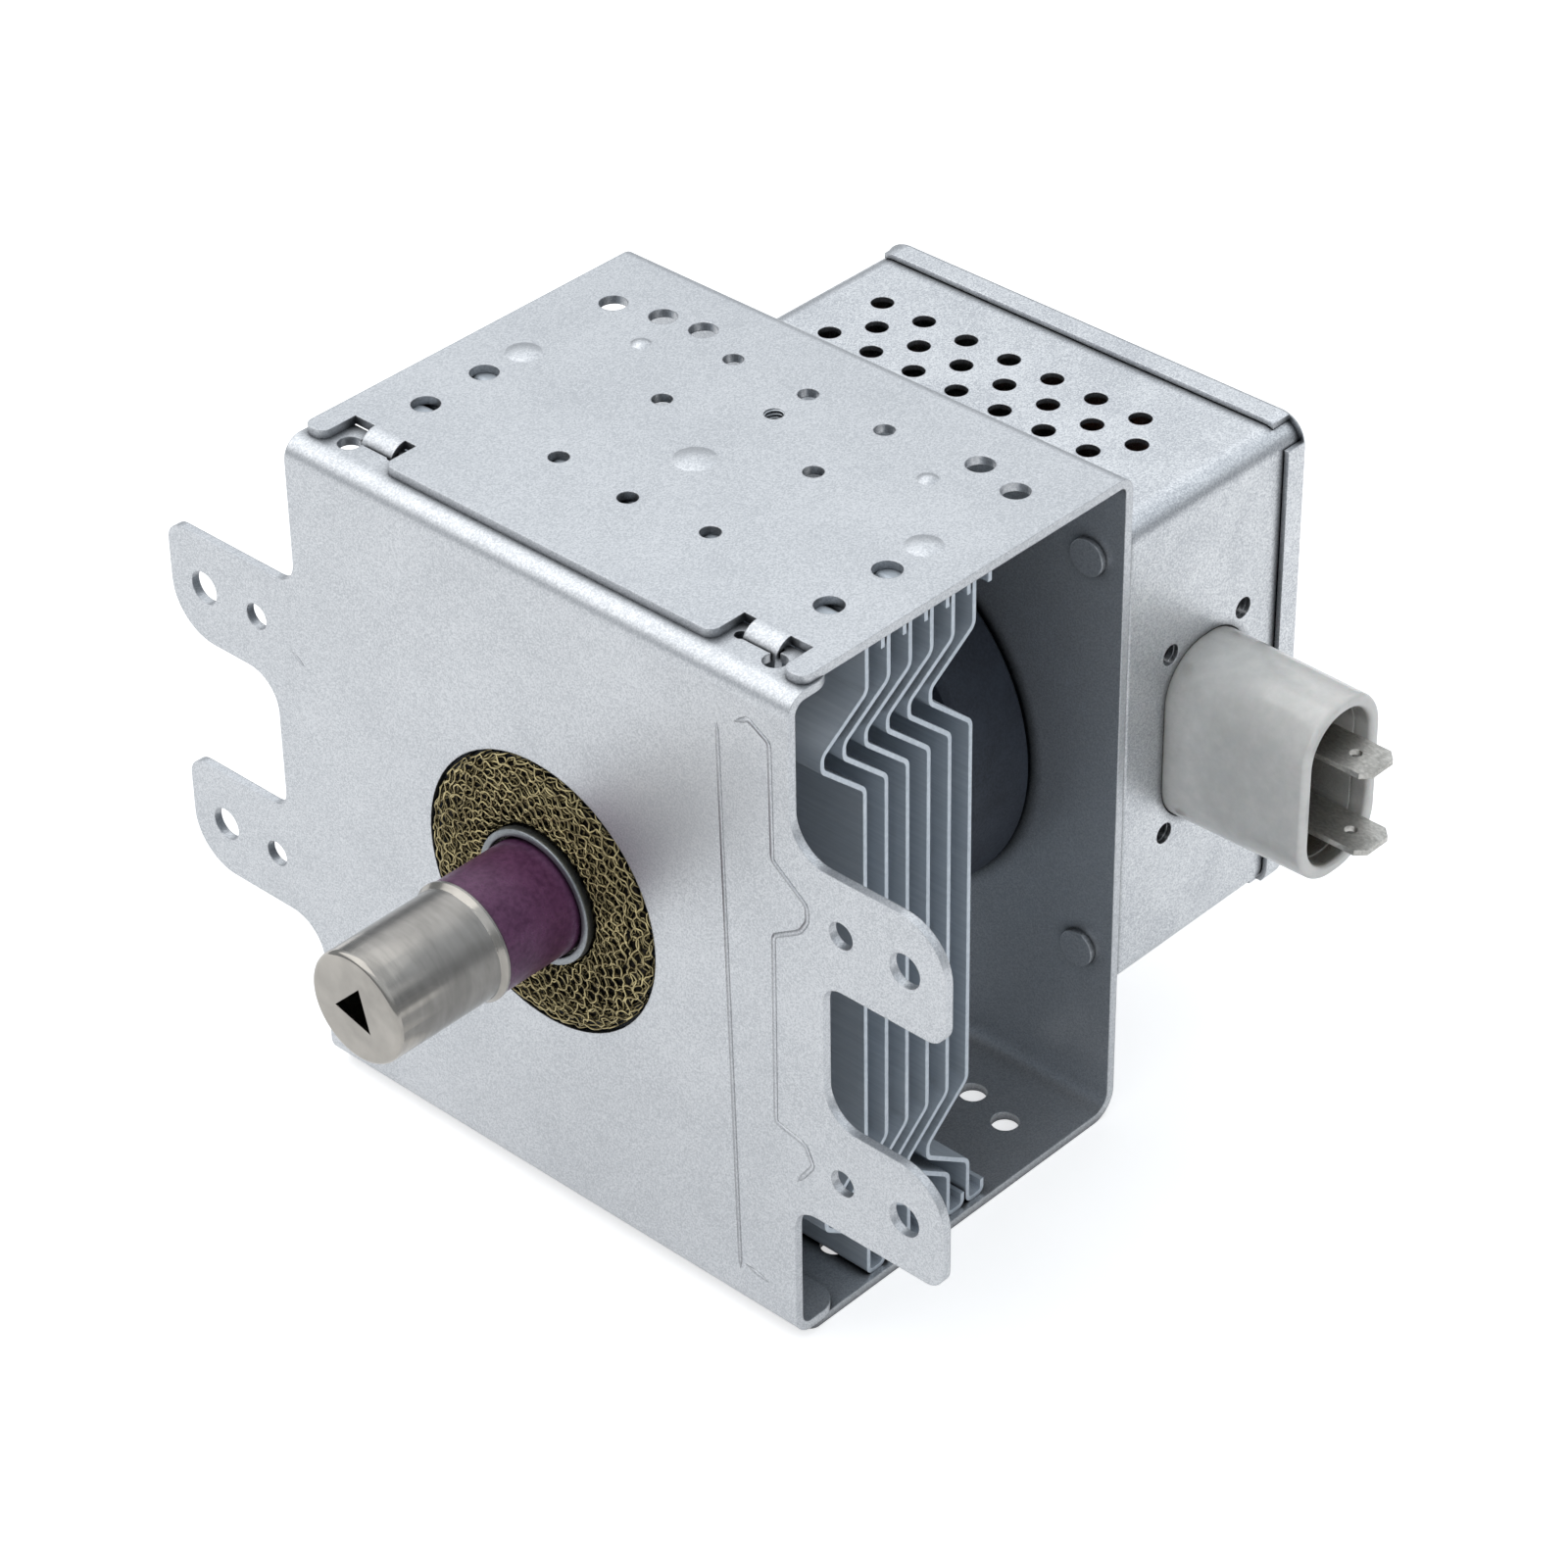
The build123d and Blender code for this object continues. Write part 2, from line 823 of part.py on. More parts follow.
save(antenna_cap.part, "antenna_cap")

# Wire gasket between the collar and the front plate's hole, on the front magnet
save(
    turned(
        [
            (gasket_inner / 2, front_sheet),
            (gasket_diameter / 2, front_sheet),
            (gasket_diameter / 2, -gasket_proud),
            (gasket_inner / 2, -gasket_proud),
        ],
        gasket_round,
    ),
    "gasket",
)

# Cathode: a filament wound between two end hats and carried by two leads
lead_radius = lead_diameter / 2
with BuildPart() as front_end_hat:
    with BuildSketch(facing(front_hat_back - hat_thickness)):
        Circle(hat_diameter / 2)
        Circle(lead_radius, mode=Mode.SUBTRACT)
    extrude(amount=-hat_thickness)
save(front_end_hat.part, "front_end_hat")

with BuildPart() as rear_end_hat:
    with BuildSketch(facing(rear_hat_front)):
        Circle(hat_diameter / 2)
        Circle(lead_radius + hat_hole_gap, mode=Mode.SUBTRACT)
    extrude(amount=-hat_thickness)
save(rear_end_hat.part, "rear_end_hat")

# The filament's end turns rest against the hats.
filament_length = rear_hat_front - front_hat_back - filament_wire
with BuildPart() as filament:
    with BuildLine() as winding:
        Helix(
            filament_pitch,
            filament_length,
            (filament_diameter - filament_wire) / 2,
            center=(0, front_hat_back + filament_wire / 2, 0),
            direction=(0, 1, 0),
        )
    with BuildSketch(Plane(winding.line @ 0, x_dir=(0, 1, 0), z_dir=winding.line % 0)):
        Rectangle(filament_wire, filament_wire)
    sweep(is_frenet=True)
save(filament.part, "filament")

jog_start = rear_hat_front + lead_jog_start
save(
    wire(
        [
            (0, front_hat_back - hat_thickness, 0),
            (0, jog_start, 0),
            (-lead_offset, jog_start + lead_jog_run, 0),
            (-lead_offset, lead_end, 0),
        ],
        lead_bend,
        lead_diameter,
    ),
    "centre_lead",
)
with BuildPart() as side_lead:
    with BuildSketch(facing(rear_hat_front + hat_thickness)):
        with Locations((lead_offset, 0)):
            Circle(lead_radius)
    extrude(amount=rear_hat_front + hat_thickness - lead_end)
save(side_lead.part, "side_lead")

# Cathode stem: a metal cup through the rear magnet, the ceramic in its end, two terminals
stem_cup_radius = stem_cup_diameter / 2
stem_radius = stem_diameter / 2
save(
    turned(
        [
            (flange_radius, tube_back - cup_sheet),
            (flange_radius, tube_back),
            (stem_cup_radius, tube_back),
            (stem_cup_radius, stem_cup_end),
            (stem_radius, stem_cup_end),
            (stem_radius, stem_cup_end - cup_sheet),
            (stem_cup_radius - cup_sheet, stem_cup_end - cup_sheet),
            (stem_cup_radius - cup_sheet, tube_back - cup_sheet),
        ],
        [0, 0, 0, 2 * cup_sheet, 0, 0, cup_sheet, 0],
    ),
    "cathode_seal_cup",
)

with BuildPart() as cathode_ceramic:
    with BuildSketch(facing(stem_start)):
        Circle(stem_radius)
    extrude(amount=stem_start - stem_end)
    fillet(cathode_ceramic.edges().filter_by(GeomType.CIRCLE).sort_by(Axis.Y)[-1], stem_edge)
    with BuildSketch(facing(stem_start)):
        with Locations((-lead_offset, 0), (lead_offset, 0)):
            Circle(lead_radius)
    extrude(amount=stem_start - stem_end, mode=Mode.SUBTRACT)
save(cathode_ceramic.part, "cathode_ceramic")

terminal_end = stem_end + terminal_length
with BuildPart() as cathode_terminals:
    with BuildSketch(facing(stem_end)):
        with Locations((-lead_offset, 0), (lead_offset, 0)):
            Circle(terminal_diameter / 2)
    extrude(amount=-terminal_length)
    with BuildSketch(facing(stem_end)):
        with Locations((-lead_offset, 0), (lead_offset, 0)):
            Circle(lead_radius)
    extrude(amount=stem_end - lead_end, mode=Mode.SUBTRACT)
save(cathode_terminals.part, "cathode_terminals")

# Filter box: a folded sheet box, open at the back, with vents in its top
with BuildPart() as filter_box:
    with BuildSketch(facing(bracket_depth)):
        with Locations((box_centre_x, box_centre_z)):
            RectangleRounded(box_width, box_height, box_corner)
    extrude(amount=-box_depth)
    fillet(filter_box.faces().sort_by(Axis.Y)[0].edges(), box_front_round)
    with BuildSketch(facing(bracket_depth + box_sheet)):
        with Locations((box_centre_x, box_centre_z)):
            RectangleRounded(
                box_width - 2 * box_sheet, box_height - 2 * box_sheet, box_corner - box_sheet
            )
    extrude(amount=-box_depth, mode=Mode.SUBTRACT)
    with BuildSketch(facing(bracket_depth)):
        Circle(stem_cup_radius + box_hole_gap)
        with Locations(*rivet_places):
            Circle(rivet_diameter / 2)
    extrude(amount=-box_sheet, mode=Mode.SUBTRACT)
    with BuildSketch(Plane.XY.offset(box_top)):
        for row in range(vent_rows):
            row_start = (row % 2) * vent_pitch / 2 - vent_start
            row_depth = bracket_depth + vent_first_row + row * vent_row_pitch
            with Locations(*[(row_start + n * vent_pitch, row_depth) for n in range(vent_count)]):
                Circle(vent_diameter / 2)
    extrude(amount=-2 * box_sheet, mode=Mode.SUBTRACT)
    with BuildSketch(Plane.YZ.offset(box_right)):
        with Locations((socket_y, socket_height)):
            RectangleRounded(
                socket_base_width + 2 * socket_gap,
                socket_base_height + 2 * socket_gap,
                socket_base_corner + socket_gap,
            )
            with GridLocations(fixing_spacing_depth, fixing_spacing_height, 2, 2):
                Circle(fixing_hole / 2)
    extrude(amount=-2 * box_sheet, mode=Mode.SUBTRACT)
save(filter_box.part, "filter_box")

# Cover: a lid whose four lips lap the box's walls, with open corners between them
cover_back = box_back + box_sheet
lip_front = cover_back - lip_reach
cover_grow = cover_gap + box_sheet
with BuildPart() as filter_cover:
    with BuildSketch(facing(lip_front)):
        with Locations((box_centre_x, box_centre_z)):
            RectangleRounded(
                box_width + 2 * cover_grow, box_height + 2 * cover_grow, box_corner + cover_grow
            )
    extrude(amount=-lip_reach)
    fillet(filter_cover.faces().sort_by(Axis.Y)[-1].edges(), box_front_round)
    with BuildSketch(facing(lip_front)):
        with Locations((box_centre_x, box_centre_z)):
            RectangleRounded(
                box_width + 2 * cover_gap, box_height + 2 * cover_gap, box_corner + cover_gap
            )
    extrude(amount=lip_front - box_back, mode=Mode.SUBTRACT)
    with BuildSketch(facing(lip_front)):
        for x_side, x_edge in ((-1, -box_left), (1, box_right)):
            for z_side, z_edge, inset in (
                (-1, -box_bottom, side_lip_bottom_inset),
                (1, box_top, side_lip_top_inset),
            ):
                x_size = top_lip_inset + 2 * cover_grow
                z_size = inset + 2 * cover_grow
                corner_x = x_edge + x_side * (x_size / 2 - top_lip_inset)
                corner_z = z_edge + z_side * (z_size / 2 - inset)
                with Locations((corner_x, corner_z)):
                    Rectangle(x_size, z_size)
    extrude(amount=lip_front - box_back, mode=Mode.SUBTRACT)
save(filter_cover.part, "filter_cover")

# Rivets through the bracket's back and the box's front
rivet_grip = bracket_sheet + box_sheet
with BuildPart() as box_rivets:
    with BuildSketch(facing(back_inner)):
        with Locations(*rivet_places):
            Circle(rivet_diameter / 2)
    extrude(amount=-rivet_grip)
    for head_face in (back_inner - rivet_head_height, back_inner + rivet_grip):
        with BuildSketch(facing(head_face)):
            with Locations(*rivet_places):
                Circle(rivet_head / 2)
        extrude(amount=-rivet_head_height)
save(box_rivets.part, "box_rivets")

# Socket: a slightly tapered shroud with a floor that the two blades pass through
mouth_width = socket_base_width - 2 * (socket_mouth - wall_inner) * math.tan(math.radians(socket_taper))
mouth_height = mouth_width + socket_base_height - socket_base_width
blade_heights = (socket_height + blade_spacing / 2, socket_height - blade_spacing / 2)
with BuildPart() as socket_shell:
    with BuildSketch(Plane.YZ.offset(wall_inner)):
        with Locations((socket_y, socket_height)):
            RectangleRounded(socket_base_width, socket_base_height, socket_base_corner)
    extrude(amount=socket_mouth - wall_inner, taper=socket_taper)
    with BuildSketch(Plane.YZ.offset(socket_mouth)):
        with Locations((socket_y, socket_height)):
            RectangleRounded(
                mouth_width - 2 * socket_wall, mouth_height - 2 * socket_wall, socket_cavity_corner
            )
    extrude(amount=-socket_cavity_depth, mode=Mode.SUBTRACT)
    fillet(socket_shell.faces().sort_by(Axis.X)[-1].edges(), socket_rim_round)
    with BuildSketch(Plane.YZ.offset(wall_inner)):
        with Locations(*[(socket_y, z) for z in blade_heights]):
            Rectangle(blade_width + 2 * blade_gap, blade_thickness + 2 * blade_gap)
    extrude(amount=socket_floor - wall_inner, mode=Mode.SUBTRACT)
save(socket_shell.part, "socket_shell")


def blade(height):
    """A flat blade with a chamfered tip and a detent hole, centred on Z = height."""
    blade_end = box_right + blade_reach
    with BuildPart() as strip:
        with BuildSketch(Plane.XY.offset(height - blade_thickness / 2)) as outline:
            with Locations((blade_start, socket_y)):
                Rectangle(blade_end - blade_start, blade_width, align=(Align.MIN, Align.CENTER))
            chamfer(outline.vertices().group_by(Axis.X)[-1], blade_tip)
            with Locations((blade_end - blade_hole_inset, socket_y)):
                Circle(blade_hole / 2, mode=Mode.SUBTRACT)
        extrude(amount=blade_thickness)
    return strip.part


save(blade(blade_heights[0]), "upper_blade")
save(blade(blade_heights[1]), "lower_blade")

# Capacitor: an earth plate on the wall's inner face, and the body that holds the blades
with BuildPart() as earth_plate:
    with BuildSketch(Plane.YZ.offset(wall_inner)):
        with Locations((socket_y, socket_height)):
            RectangleRounded(earth_width, earth_height, earth_corner)
            Rectangle(
                blade_width + 2 * earth_window_gap,
                blade_spacing + blade_thickness + 2 * earth_window_gap,
                mode=Mode.SUBTRACT,
            )
            with GridLocations(fixing_spacing_depth, fixing_spacing_height, 2, 2):
                Circle(fixing_hole / 2, mode=Mode.SUBTRACT)
    extrude(amount=-earth_sheet)
save(earth_plate.part, "capacitor_earth_plate")

with BuildPart() as capacitor_body:
    with BuildSketch(Plane.YZ.offset(earth_inner)):
        with Locations((socket_y, socket_height)):
            RectangleRounded(capacitor_width, capacitor_height, capacitor_corner)
        with Locations(*[(socket_y, z) for z in blade_heights]):
            Rectangle(blade_width, blade_thickness, mode=Mode.SUBTRACT)
    extrude(amount=-capacitor_length)
save(capacitor_body.part, "capacitor_body")


def choke_core(side):
    """The ferrite rod of the choke above (1) or below (-1) the stem."""
    with BuildPart() as core:
        with BuildSketch(Plane.YZ.offset(choke_centre - core_length / 2)):
            with Locations((choke_y, side * choke_offset)):
                Circle(core_diameter / 2)
        extrude(amount=core_length)
    return core.part


def choke_wire(side):
    """The winding of one choke, with its ends led to a stem terminal and to a blade."""
    height = side * choke_offset
    left_end = choke_centre - coil_length / 2
    right_end = choke_centre + coil_length / 2
    lead_z = height + coil_radius
    lead_back = bracket_depth + choke_lead_depth
    terminal_x = -side * lead_offset
    blade_z = socket_height + side * blade_spacing / 2
    stem_run = wire(
        [
            (left_end, choke_y, lead_z),
            (-choke_lead_side, choke_y, lead_z),
            (-choke_lead_side, lead_back, side * choke_lead_drop),
            (terminal_x, lead_back, 0),
            (terminal_x, terminal_end, 0),
        ],
        choke_lead_bend,
        coil_wire,
    )
    blade_run = wire(
        [
            (right_end, choke_y, lead_z),
            (right_end + choke_lead_run, choke_y, lead_z),
            (blade_start - choke_lead_run, socket_y, blade_z),
            (blade_start, socket_y, blade_z),
        ],
        choke_lead_short_bend,
        coil_wire,
    )
    with BuildPart() as coil:
        with BuildLine() as turns:
            Helix(
                coil_pitch,
                coil_length,
                coil_radius,
                center=(left_end, choke_y, height),
                direction=(1, 0, 0),
            )
        with BuildSketch(Plane(turns.line @ 0, x_dir=(1, 0, 0), z_dir=turns.line % 0)):
            Rectangle(coil_wire, coil_wire)
        sweep(is_frenet=True)
        add(stem_run)
        add(blade_run)
    return coil.part


with BuildPart() as choke_cores:
    for side in mirror_sides:
        add(choke_core(side))
save(choke_cores.part, "choke_cores")

with BuildPart() as choke_windings:
    for side in mirror_sides:
        add(choke_wire(side))
save(choke_windings.part, "choke_windings")
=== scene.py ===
"""A magnetron from a microwave oven: finishes, knitted gasket, small press marks and the studio.

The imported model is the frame. Sizes in this file are millimetres unless a property says otherwise.
"""

import math

import bmesh
import bpy
import numpy as np
from mathutils import Matrix, Vector


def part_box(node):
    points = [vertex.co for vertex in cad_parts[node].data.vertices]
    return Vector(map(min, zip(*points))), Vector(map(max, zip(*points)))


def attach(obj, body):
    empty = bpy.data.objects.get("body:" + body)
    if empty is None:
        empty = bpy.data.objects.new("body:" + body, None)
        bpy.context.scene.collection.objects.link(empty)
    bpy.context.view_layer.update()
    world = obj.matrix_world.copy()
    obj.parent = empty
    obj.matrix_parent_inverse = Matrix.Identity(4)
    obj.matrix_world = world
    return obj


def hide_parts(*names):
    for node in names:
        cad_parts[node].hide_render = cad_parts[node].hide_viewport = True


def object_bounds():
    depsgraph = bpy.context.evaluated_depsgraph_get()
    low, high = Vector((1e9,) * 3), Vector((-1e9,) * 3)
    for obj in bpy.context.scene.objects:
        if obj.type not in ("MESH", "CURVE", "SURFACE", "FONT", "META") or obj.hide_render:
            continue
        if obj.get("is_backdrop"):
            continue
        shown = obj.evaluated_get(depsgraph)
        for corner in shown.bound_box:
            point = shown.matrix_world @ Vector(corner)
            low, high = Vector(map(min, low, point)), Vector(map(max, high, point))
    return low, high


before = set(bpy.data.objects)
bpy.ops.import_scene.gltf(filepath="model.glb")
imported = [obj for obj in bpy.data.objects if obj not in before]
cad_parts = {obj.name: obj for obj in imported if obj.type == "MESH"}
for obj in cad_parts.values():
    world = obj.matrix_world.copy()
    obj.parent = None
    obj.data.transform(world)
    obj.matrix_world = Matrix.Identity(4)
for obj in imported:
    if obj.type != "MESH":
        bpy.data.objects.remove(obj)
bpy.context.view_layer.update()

bl_info = {
    "name": "Magnetron",
    "version": (1, 0, 0),
    "blender": (4, 5, 0),
    "location": "3D View > Sidebar > Magnetron",
    "description": "Finishes a magnetron: plated steel, fins, ceramics, knitted gasket and studio",
    "category": "Add Mesh",
}

MM = 0.001
# Points nearer to each other than this, in millimetres, become one.
MERGED = 0.002


def linear(code):
    """Turns an sRGB hex code into the linear colour that Blender works in."""
    parts = [int(code[i : i + 2], 16) / 255 for i in (1, 3, 5)]
    curved = (p / 12.92 if p <= 0.04045 else ((p + 0.055) / 1.055) ** 2.4 for p in parts)
    return (*curved, 1.0)


def colour_property(name, description, code):
    """A colour that the sidebar shows, with its default given as a hex code."""
    return bpy.props.FloatVectorProperty(
        name=name,
        description=description,
        subtype="COLOR",
        size=4,
        min=0,
        max=1,
        default=linear(code),
    )


def length_property(name, description, millimetres):
    """A length that the sidebar shows in the scene's units."""
    return bpy.props.FloatProperty(
        name=name,
        description=description,
        subtype="DISTANCE",
        unit="LENGTH",
        min=0,
        precision=5,
        default=millimetres * MM,
    )


# Meshes


def make_piece(name, grids, finish):
    """Makes one closed mesh from grids of points in millimetres and lets it ride on the tube.

    Each grid is (rows, columns, 3). Its columns close round; its rows close round where the flag
    beside it is true, and otherwise its first and last row must each have shrunk to a point.
    """
    corners, faces, first = [], [], 0
    for points, rows_close in grids:
        rows, columns = points.shape[:2]
        row = np.arange(rows if rows_close else rows - 1)[:, None]
        column = np.arange(columns)[None, :]
        next_row, next_column = (row + 1) % rows, (column + 1) % columns
        quads = [
            row * columns + column,
            next_row * columns + column,
            next_row * columns + next_column,
            row * columns + next_column,
        ]
        faces.append(first + np.stack(quads, -1).reshape(-1, 4))
        corners.append(points.reshape(-1, 3))
        first += rows * columns
    corners = np.concatenate(corners) * MM
    faces = np.concatenate(faces)
    # The volume that the faces enclose is negative where they point inwards.
    a, b, c, d = (corners[faces[:, i]] for i in range(4))
    if (a * (np.cross(b, c) + np.cross(c, d))).sum() < 0:
        faces = faces[:, ::-1]
    mesh = bpy.data.meshes.new(name)
    mesh.from_pydata(corners.tolist(), [], faces.tolist())
    loose = bmesh.new()
    loose.from_mesh(mesh)
    bmesh.ops.remove_doubles(loose, verts=loose.verts, dist=MERGED * MM)
    loose.to_mesh(mesh)
    loose.free()
    mesh.shade_smooth()
    mesh.materials.append(finish)
    piece = bpy.data.objects.new(name, mesh)
    bpy.context.scene.collection.objects.link(piece)
    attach(piece, "root")
    return piece


def turned(profile, segments):
    """A ring turned about the antenna's axis.

    The closed profile of (radius, Y) points is carried round a circle: X is the radius times the
    cosine of the turn, Z the radius times its sine.
    """
    turn = np.linspace(0, 2 * np.pi, segments, endpoint=False)[:, None]
    radius, depth = profile[None, :, 0], profile[None, :, 1]
    return np.stack([radius * np.cos(turn), depth + 0 * turn, radius * np.sin(turn)], -1)


def carried(path, section, side, closed):
    """A section carried along a path.

    Each section point (u, v) lands at the path's point plus u times the side direction plus v
    times the lift. The side is the tangent crossed with the given direction, and the lift is
    square to both. A section may also change from point to point of the path.
    """
    if closed:
        tangent = np.roll(path, -1, 0) - np.roll(path, 1, 0)
    else:
        tangent = np.gradient(path, axis=0)
    tangent /= np.linalg.norm(tangent, axis=1, keepdims=True)
    across = np.cross(tangent, side)
    across /= np.linalg.norm(across, axis=1, keepdims=True)
    lift = np.cross(across, tangent)
    return path[:, None] + across[:, None] * section[..., 0:1] + lift[:, None] * section[..., 1:2]


def circle(radius, sides):
    """Points of a circle, as a section."""
    turn = np.linspace(0, 2 * np.pi, sides, endpoint=False)
    return radius * np.stack([np.cos(turn), np.sin(turn)], -1)


def spaced(points, step, softness):
    """A polyline walked in equal steps, its corners softened by a running mean.

    The mean is taken over the points nearer than the softness, and past an end over the line
    turned half round that end, so the ends stay where they are.
    """
    points = np.asarray(points, float)
    walked = np.concatenate([[0], np.cumsum(np.linalg.norm(np.diff(points, axis=0), axis=1))])
    at = np.linspace(0, walked[-1], max(8, int(walked[-1] / step)))
    path = np.stack([np.interp(at, walked, points[:, i]) for i in range(points.shape[1])], -1)
    reach = max(1, int(softness / step))
    padded = np.pad(path, ((reach, reach), (0, 0)), mode="reflect", reflect_type="odd")
    kernel = np.ones(2 * reach + 1) / (2 * reach + 1)
    return np.stack([np.convolve(line, kernel, mode="valid") for line in padded.T], -1)


# Finishes


def add(tree, kind, values=None, feeds=None, **settings):
    """Adds a node with its settings, its sockets' values and what feeds them."""
    node = tree.nodes.new(kind)
    for name, value in settings.items():
        setattr(node, name, value)
    for socket, value in (values or {}).items():
        node.inputs[socket].default_value = value
    for socket, source in (feeds or {}).items():
        tree.links.new(source, node.inputs[socket])
    return node


def blank(name, **sockets):
    """A material with one Principled shader, whose even sockets are set here."""
    material = bpy.data.materials.new(name)
    material.use_nodes = True
    tree = material.node_tree
    shader = tree.nodes["Principled BSDF"]
    for socket, value in sockets.items():
        shader.inputs[socket.replace("_", " ")].default_value = value
    return material, tree, shader


def grained(
    name,
    dark,
    light,
    grain,
    roughness,
    height,
    stretch=(1, 1, 1),
    cloud=14.0,
    edge=0.0,
    fleck=0.0,
    painted_shade_reach=0.0,
    painted_shade_colour="#30343A",
    openness=(0.3, 0.85),
    **sockets,
):
    """A finish whose colour, gloss and height change with a fine grain and with a broad cloud.

    dark and light are the two linear colours; grain and cloud are sizes in millimetres; roughness
    is its lowest and highest value; height is the grain's height in millimetres; stretch drags
    the grain out along an axis; edge rounds sharp edges in the shading, in millimetres; fleck is
    how much of the colour's range goes to single bright crystals. The next two arguments give
    painted shade, a darker colour in inner corners, holes and gaps where shade falls. The first
    is how far from an inner corner the painted shade reaches, in millimetres, the second is its
    colour, and openness is how much free sky a point has where it is fully shaded and where it
    has no painted shade.
    """
    # The cloud's share against the grain, a crystal's size against the grain's, and the part of
    # the pattern's range that runs from dark to light.
    cloud_share, fleck_size, pattern_range = 0.45, 1.2, (0.3, 0.7)
    material, tree, shader = blank(name, **sockets)
    place = add(tree, "ShaderNodeTexCoord").outputs["Object"]
    drawn = add(tree, "ShaderNodeMapping", {"Scale": stretch}, {"Vector": place}).outputs["Vector"]
    fine = add(
        tree,
        "ShaderNodeTexNoise",
        {"Scale": 1 / (grain * MM), "Detail": 4.0, "Roughness": 0.6},
        {"Vector": drawn},
    ).outputs["Fac"]
    broad = add(
        tree,
        "ShaderNodeTexNoise",
        {"Scale": 1 / (cloud * MM), "Detail": 2.0, "Distortion": 0.6},
        {"Vector": place},
    ).outputs["Fac"]
    mixed = add(
        tree,
        "ShaderNodeMix",
        {"Factor": cloud_share},
        {"A": fine, "B": broad},
        data_type="FLOAT",
    ).outputs["Result"]
    if fleck:
        cells = add(
            tree,
            "ShaderNodeTexVoronoi",
            {"Scale": 1 / (fleck_size * grain * MM)},
            {"Vector": drawn},
        ).outputs["Color"]
        mixed = add(
            tree, "ShaderNodeMix", {"Factor": fleck}, {"A": mixed, "B": cells}, data_type="FLOAT"
        ).outputs["Result"]
    spread = add(
        tree,
        "ShaderNodeMapRange",
        {"From Min": pattern_range[0], "From Max": pattern_range[1]},
        {"Value": mixed},
        interpolation_type="SMOOTHSTEP",
    ).outputs["Result"]
    tint = add(
        tree, "ShaderNodeMix", {"A": dark, "B": light}, {"Factor": spread}, data_type="RGBA"
    ).outputs["Result"]
    gloss = add(
        tree,
        "ShaderNodeMapRange",
        {"To Min": roughness[1], "To Max": roughness[0]},
        {"Value": spread},
    ).outputs["Result"]
    # Painted shade: where the ambient occlusion finds little free sky, the colour is mixed towards a
    # dark shade colour. This stands in for the shade in inner corners, holes and gaps.
    if painted_shade_reach:
        sky = add(
            tree, "ShaderNodeAmbientOcclusion", {"Distance": painted_shade_reach * MM}, samples=4
        ).outputs["AO"]
        unshaded = add(
            tree,
            "ShaderNodeMapRange",
            {"From Min": openness[0], "From Max": openness[1]},
            {"Value": sky},
        ).outputs["Result"]
        tint = add(
            tree,
            "ShaderNodeMix",
            {"A": linear(painted_shade_colour)},
            {"Factor": unshaded, "B": tint},
            data_type="RGBA",
        ).outputs["Result"]
    tree.links.new(tint, shader.inputs["Base Color"])
    tree.links.new(gloss, shader.inputs["Roughness"])
    feeds = {"Height": fine}
    if edge:
        feeds["Normal"] = add(
            tree, "ShaderNodeBevel", {"Radius": edge * MM}, samples=4
        ).outputs["Normal"]
    bump = add(tree, "ShaderNodeBump", {"Strength": 1.0, "Distance": height * MM}, feeds)
    tree.links.new(bump.outputs["Normal"], shader.inputs["Normal"])
    return material


def dress(material, *nodes):
    """Gives CAD nodes a finish in place of the one they were packed with."""
    for name in nodes:
        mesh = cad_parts[name].data
        mesh.materials.clear()
        mesh.materials.append(material)


# What a user may change


class MagnetronSizes(bpy.types.PropertyGroup):
    """Sizes of the pieces that this file adds"""

    wire: length_property("Gasket wire", "Thickness of the gasket's brass wire", 0.25)
    stitch: length_property("Gasket stitch", "Width of one knitted stitch", 2.6)
    course: length_property("Gasket course", "Distance between knitted courses", 0.95)
    thread_pitch: length_property("Thread pitch", "Pitch of the thread in the bracket's top", 0.5)
    press_height: length_property("Press mark", "Height of the faint lines on the plate", 0.02)


class MagnetronColours(bpy.types.PropertyGroup):
    """Colours of the surfaces that are seen first"""

    zinc_dark: colour_property("Zinc, dark", "Dull crystals of the plating", "#C2C5C9")
    zinc_light: colour_property("Zinc, light", "Bright crystals of the plating", "#DEE0E3")
    box_dark: colour_property("Box, dark", "Dull crystals of the filter box", "#C0C3C8")
    box_light: colour_property("Box, light", "Bright crystals of the filter box", "#ECEEF0")
    fin_dark: colour_property("Fin, dark", "Aluminium in the rolling marks", "#C8D0D8")
    fin_light: colour_property("Fin, light", "Aluminium between the rolling marks", "#DDE4EB")
    ceramic_dark: colour_property("Antenna ceramic, dark", "Purple alumina", "#4C2546")
    ceramic_light: colour_property("Antenna ceramic, light", "Purple alumina where worn", "#724669")
    socket_dark: colour_property("Socket, dark", "Moulded plastic", "#DAD9D5")
    socket_light: colour_property("Socket, light", "Moulded plastic", "#EAE8E4")
    brass_dark: colour_property("Gasket wire, dark", "Tarnished brass", "#7C7154")
    brass_light: colour_property("Gasket wire, light", "Clean brass", "#D6C796")


class MagnetronStage(bpy.types.PropertyGroup):
    """Where the camera stands, and the light and floor of the studio"""

    lens: bpy.props.FloatProperty(
        name="Lens", description="Focal length on a 36 mm sensor", unit="CAMERA", default=115.31
    )
    azimuth: bpy.props.FloatProperty(
        name="Azimuth",
        description="How far the camera stands round to the right",
        subtype="ANGLE",
        default=math.radians(43.818),
    )
    elevation: bpy.props.FloatProperty(
        name="Elevation",
        description="How high the camera looks down from",
        subtype="ANGLE",
        default=math.radians(35.489),
    )
    roll: bpy.props.FloatProperty(
        name="Roll", description="Tilt of the camera", subtype="ANGLE", default=math.radians(-1.147)
    )
    ambient: bpy.props.FloatProperty(
        name="Ambient", description="How strongly the room lights the tube", min=0, default=0.66
    )
    floor: colour_property("Floor", "Colour of the table", "#E8E8E8")


# Operators


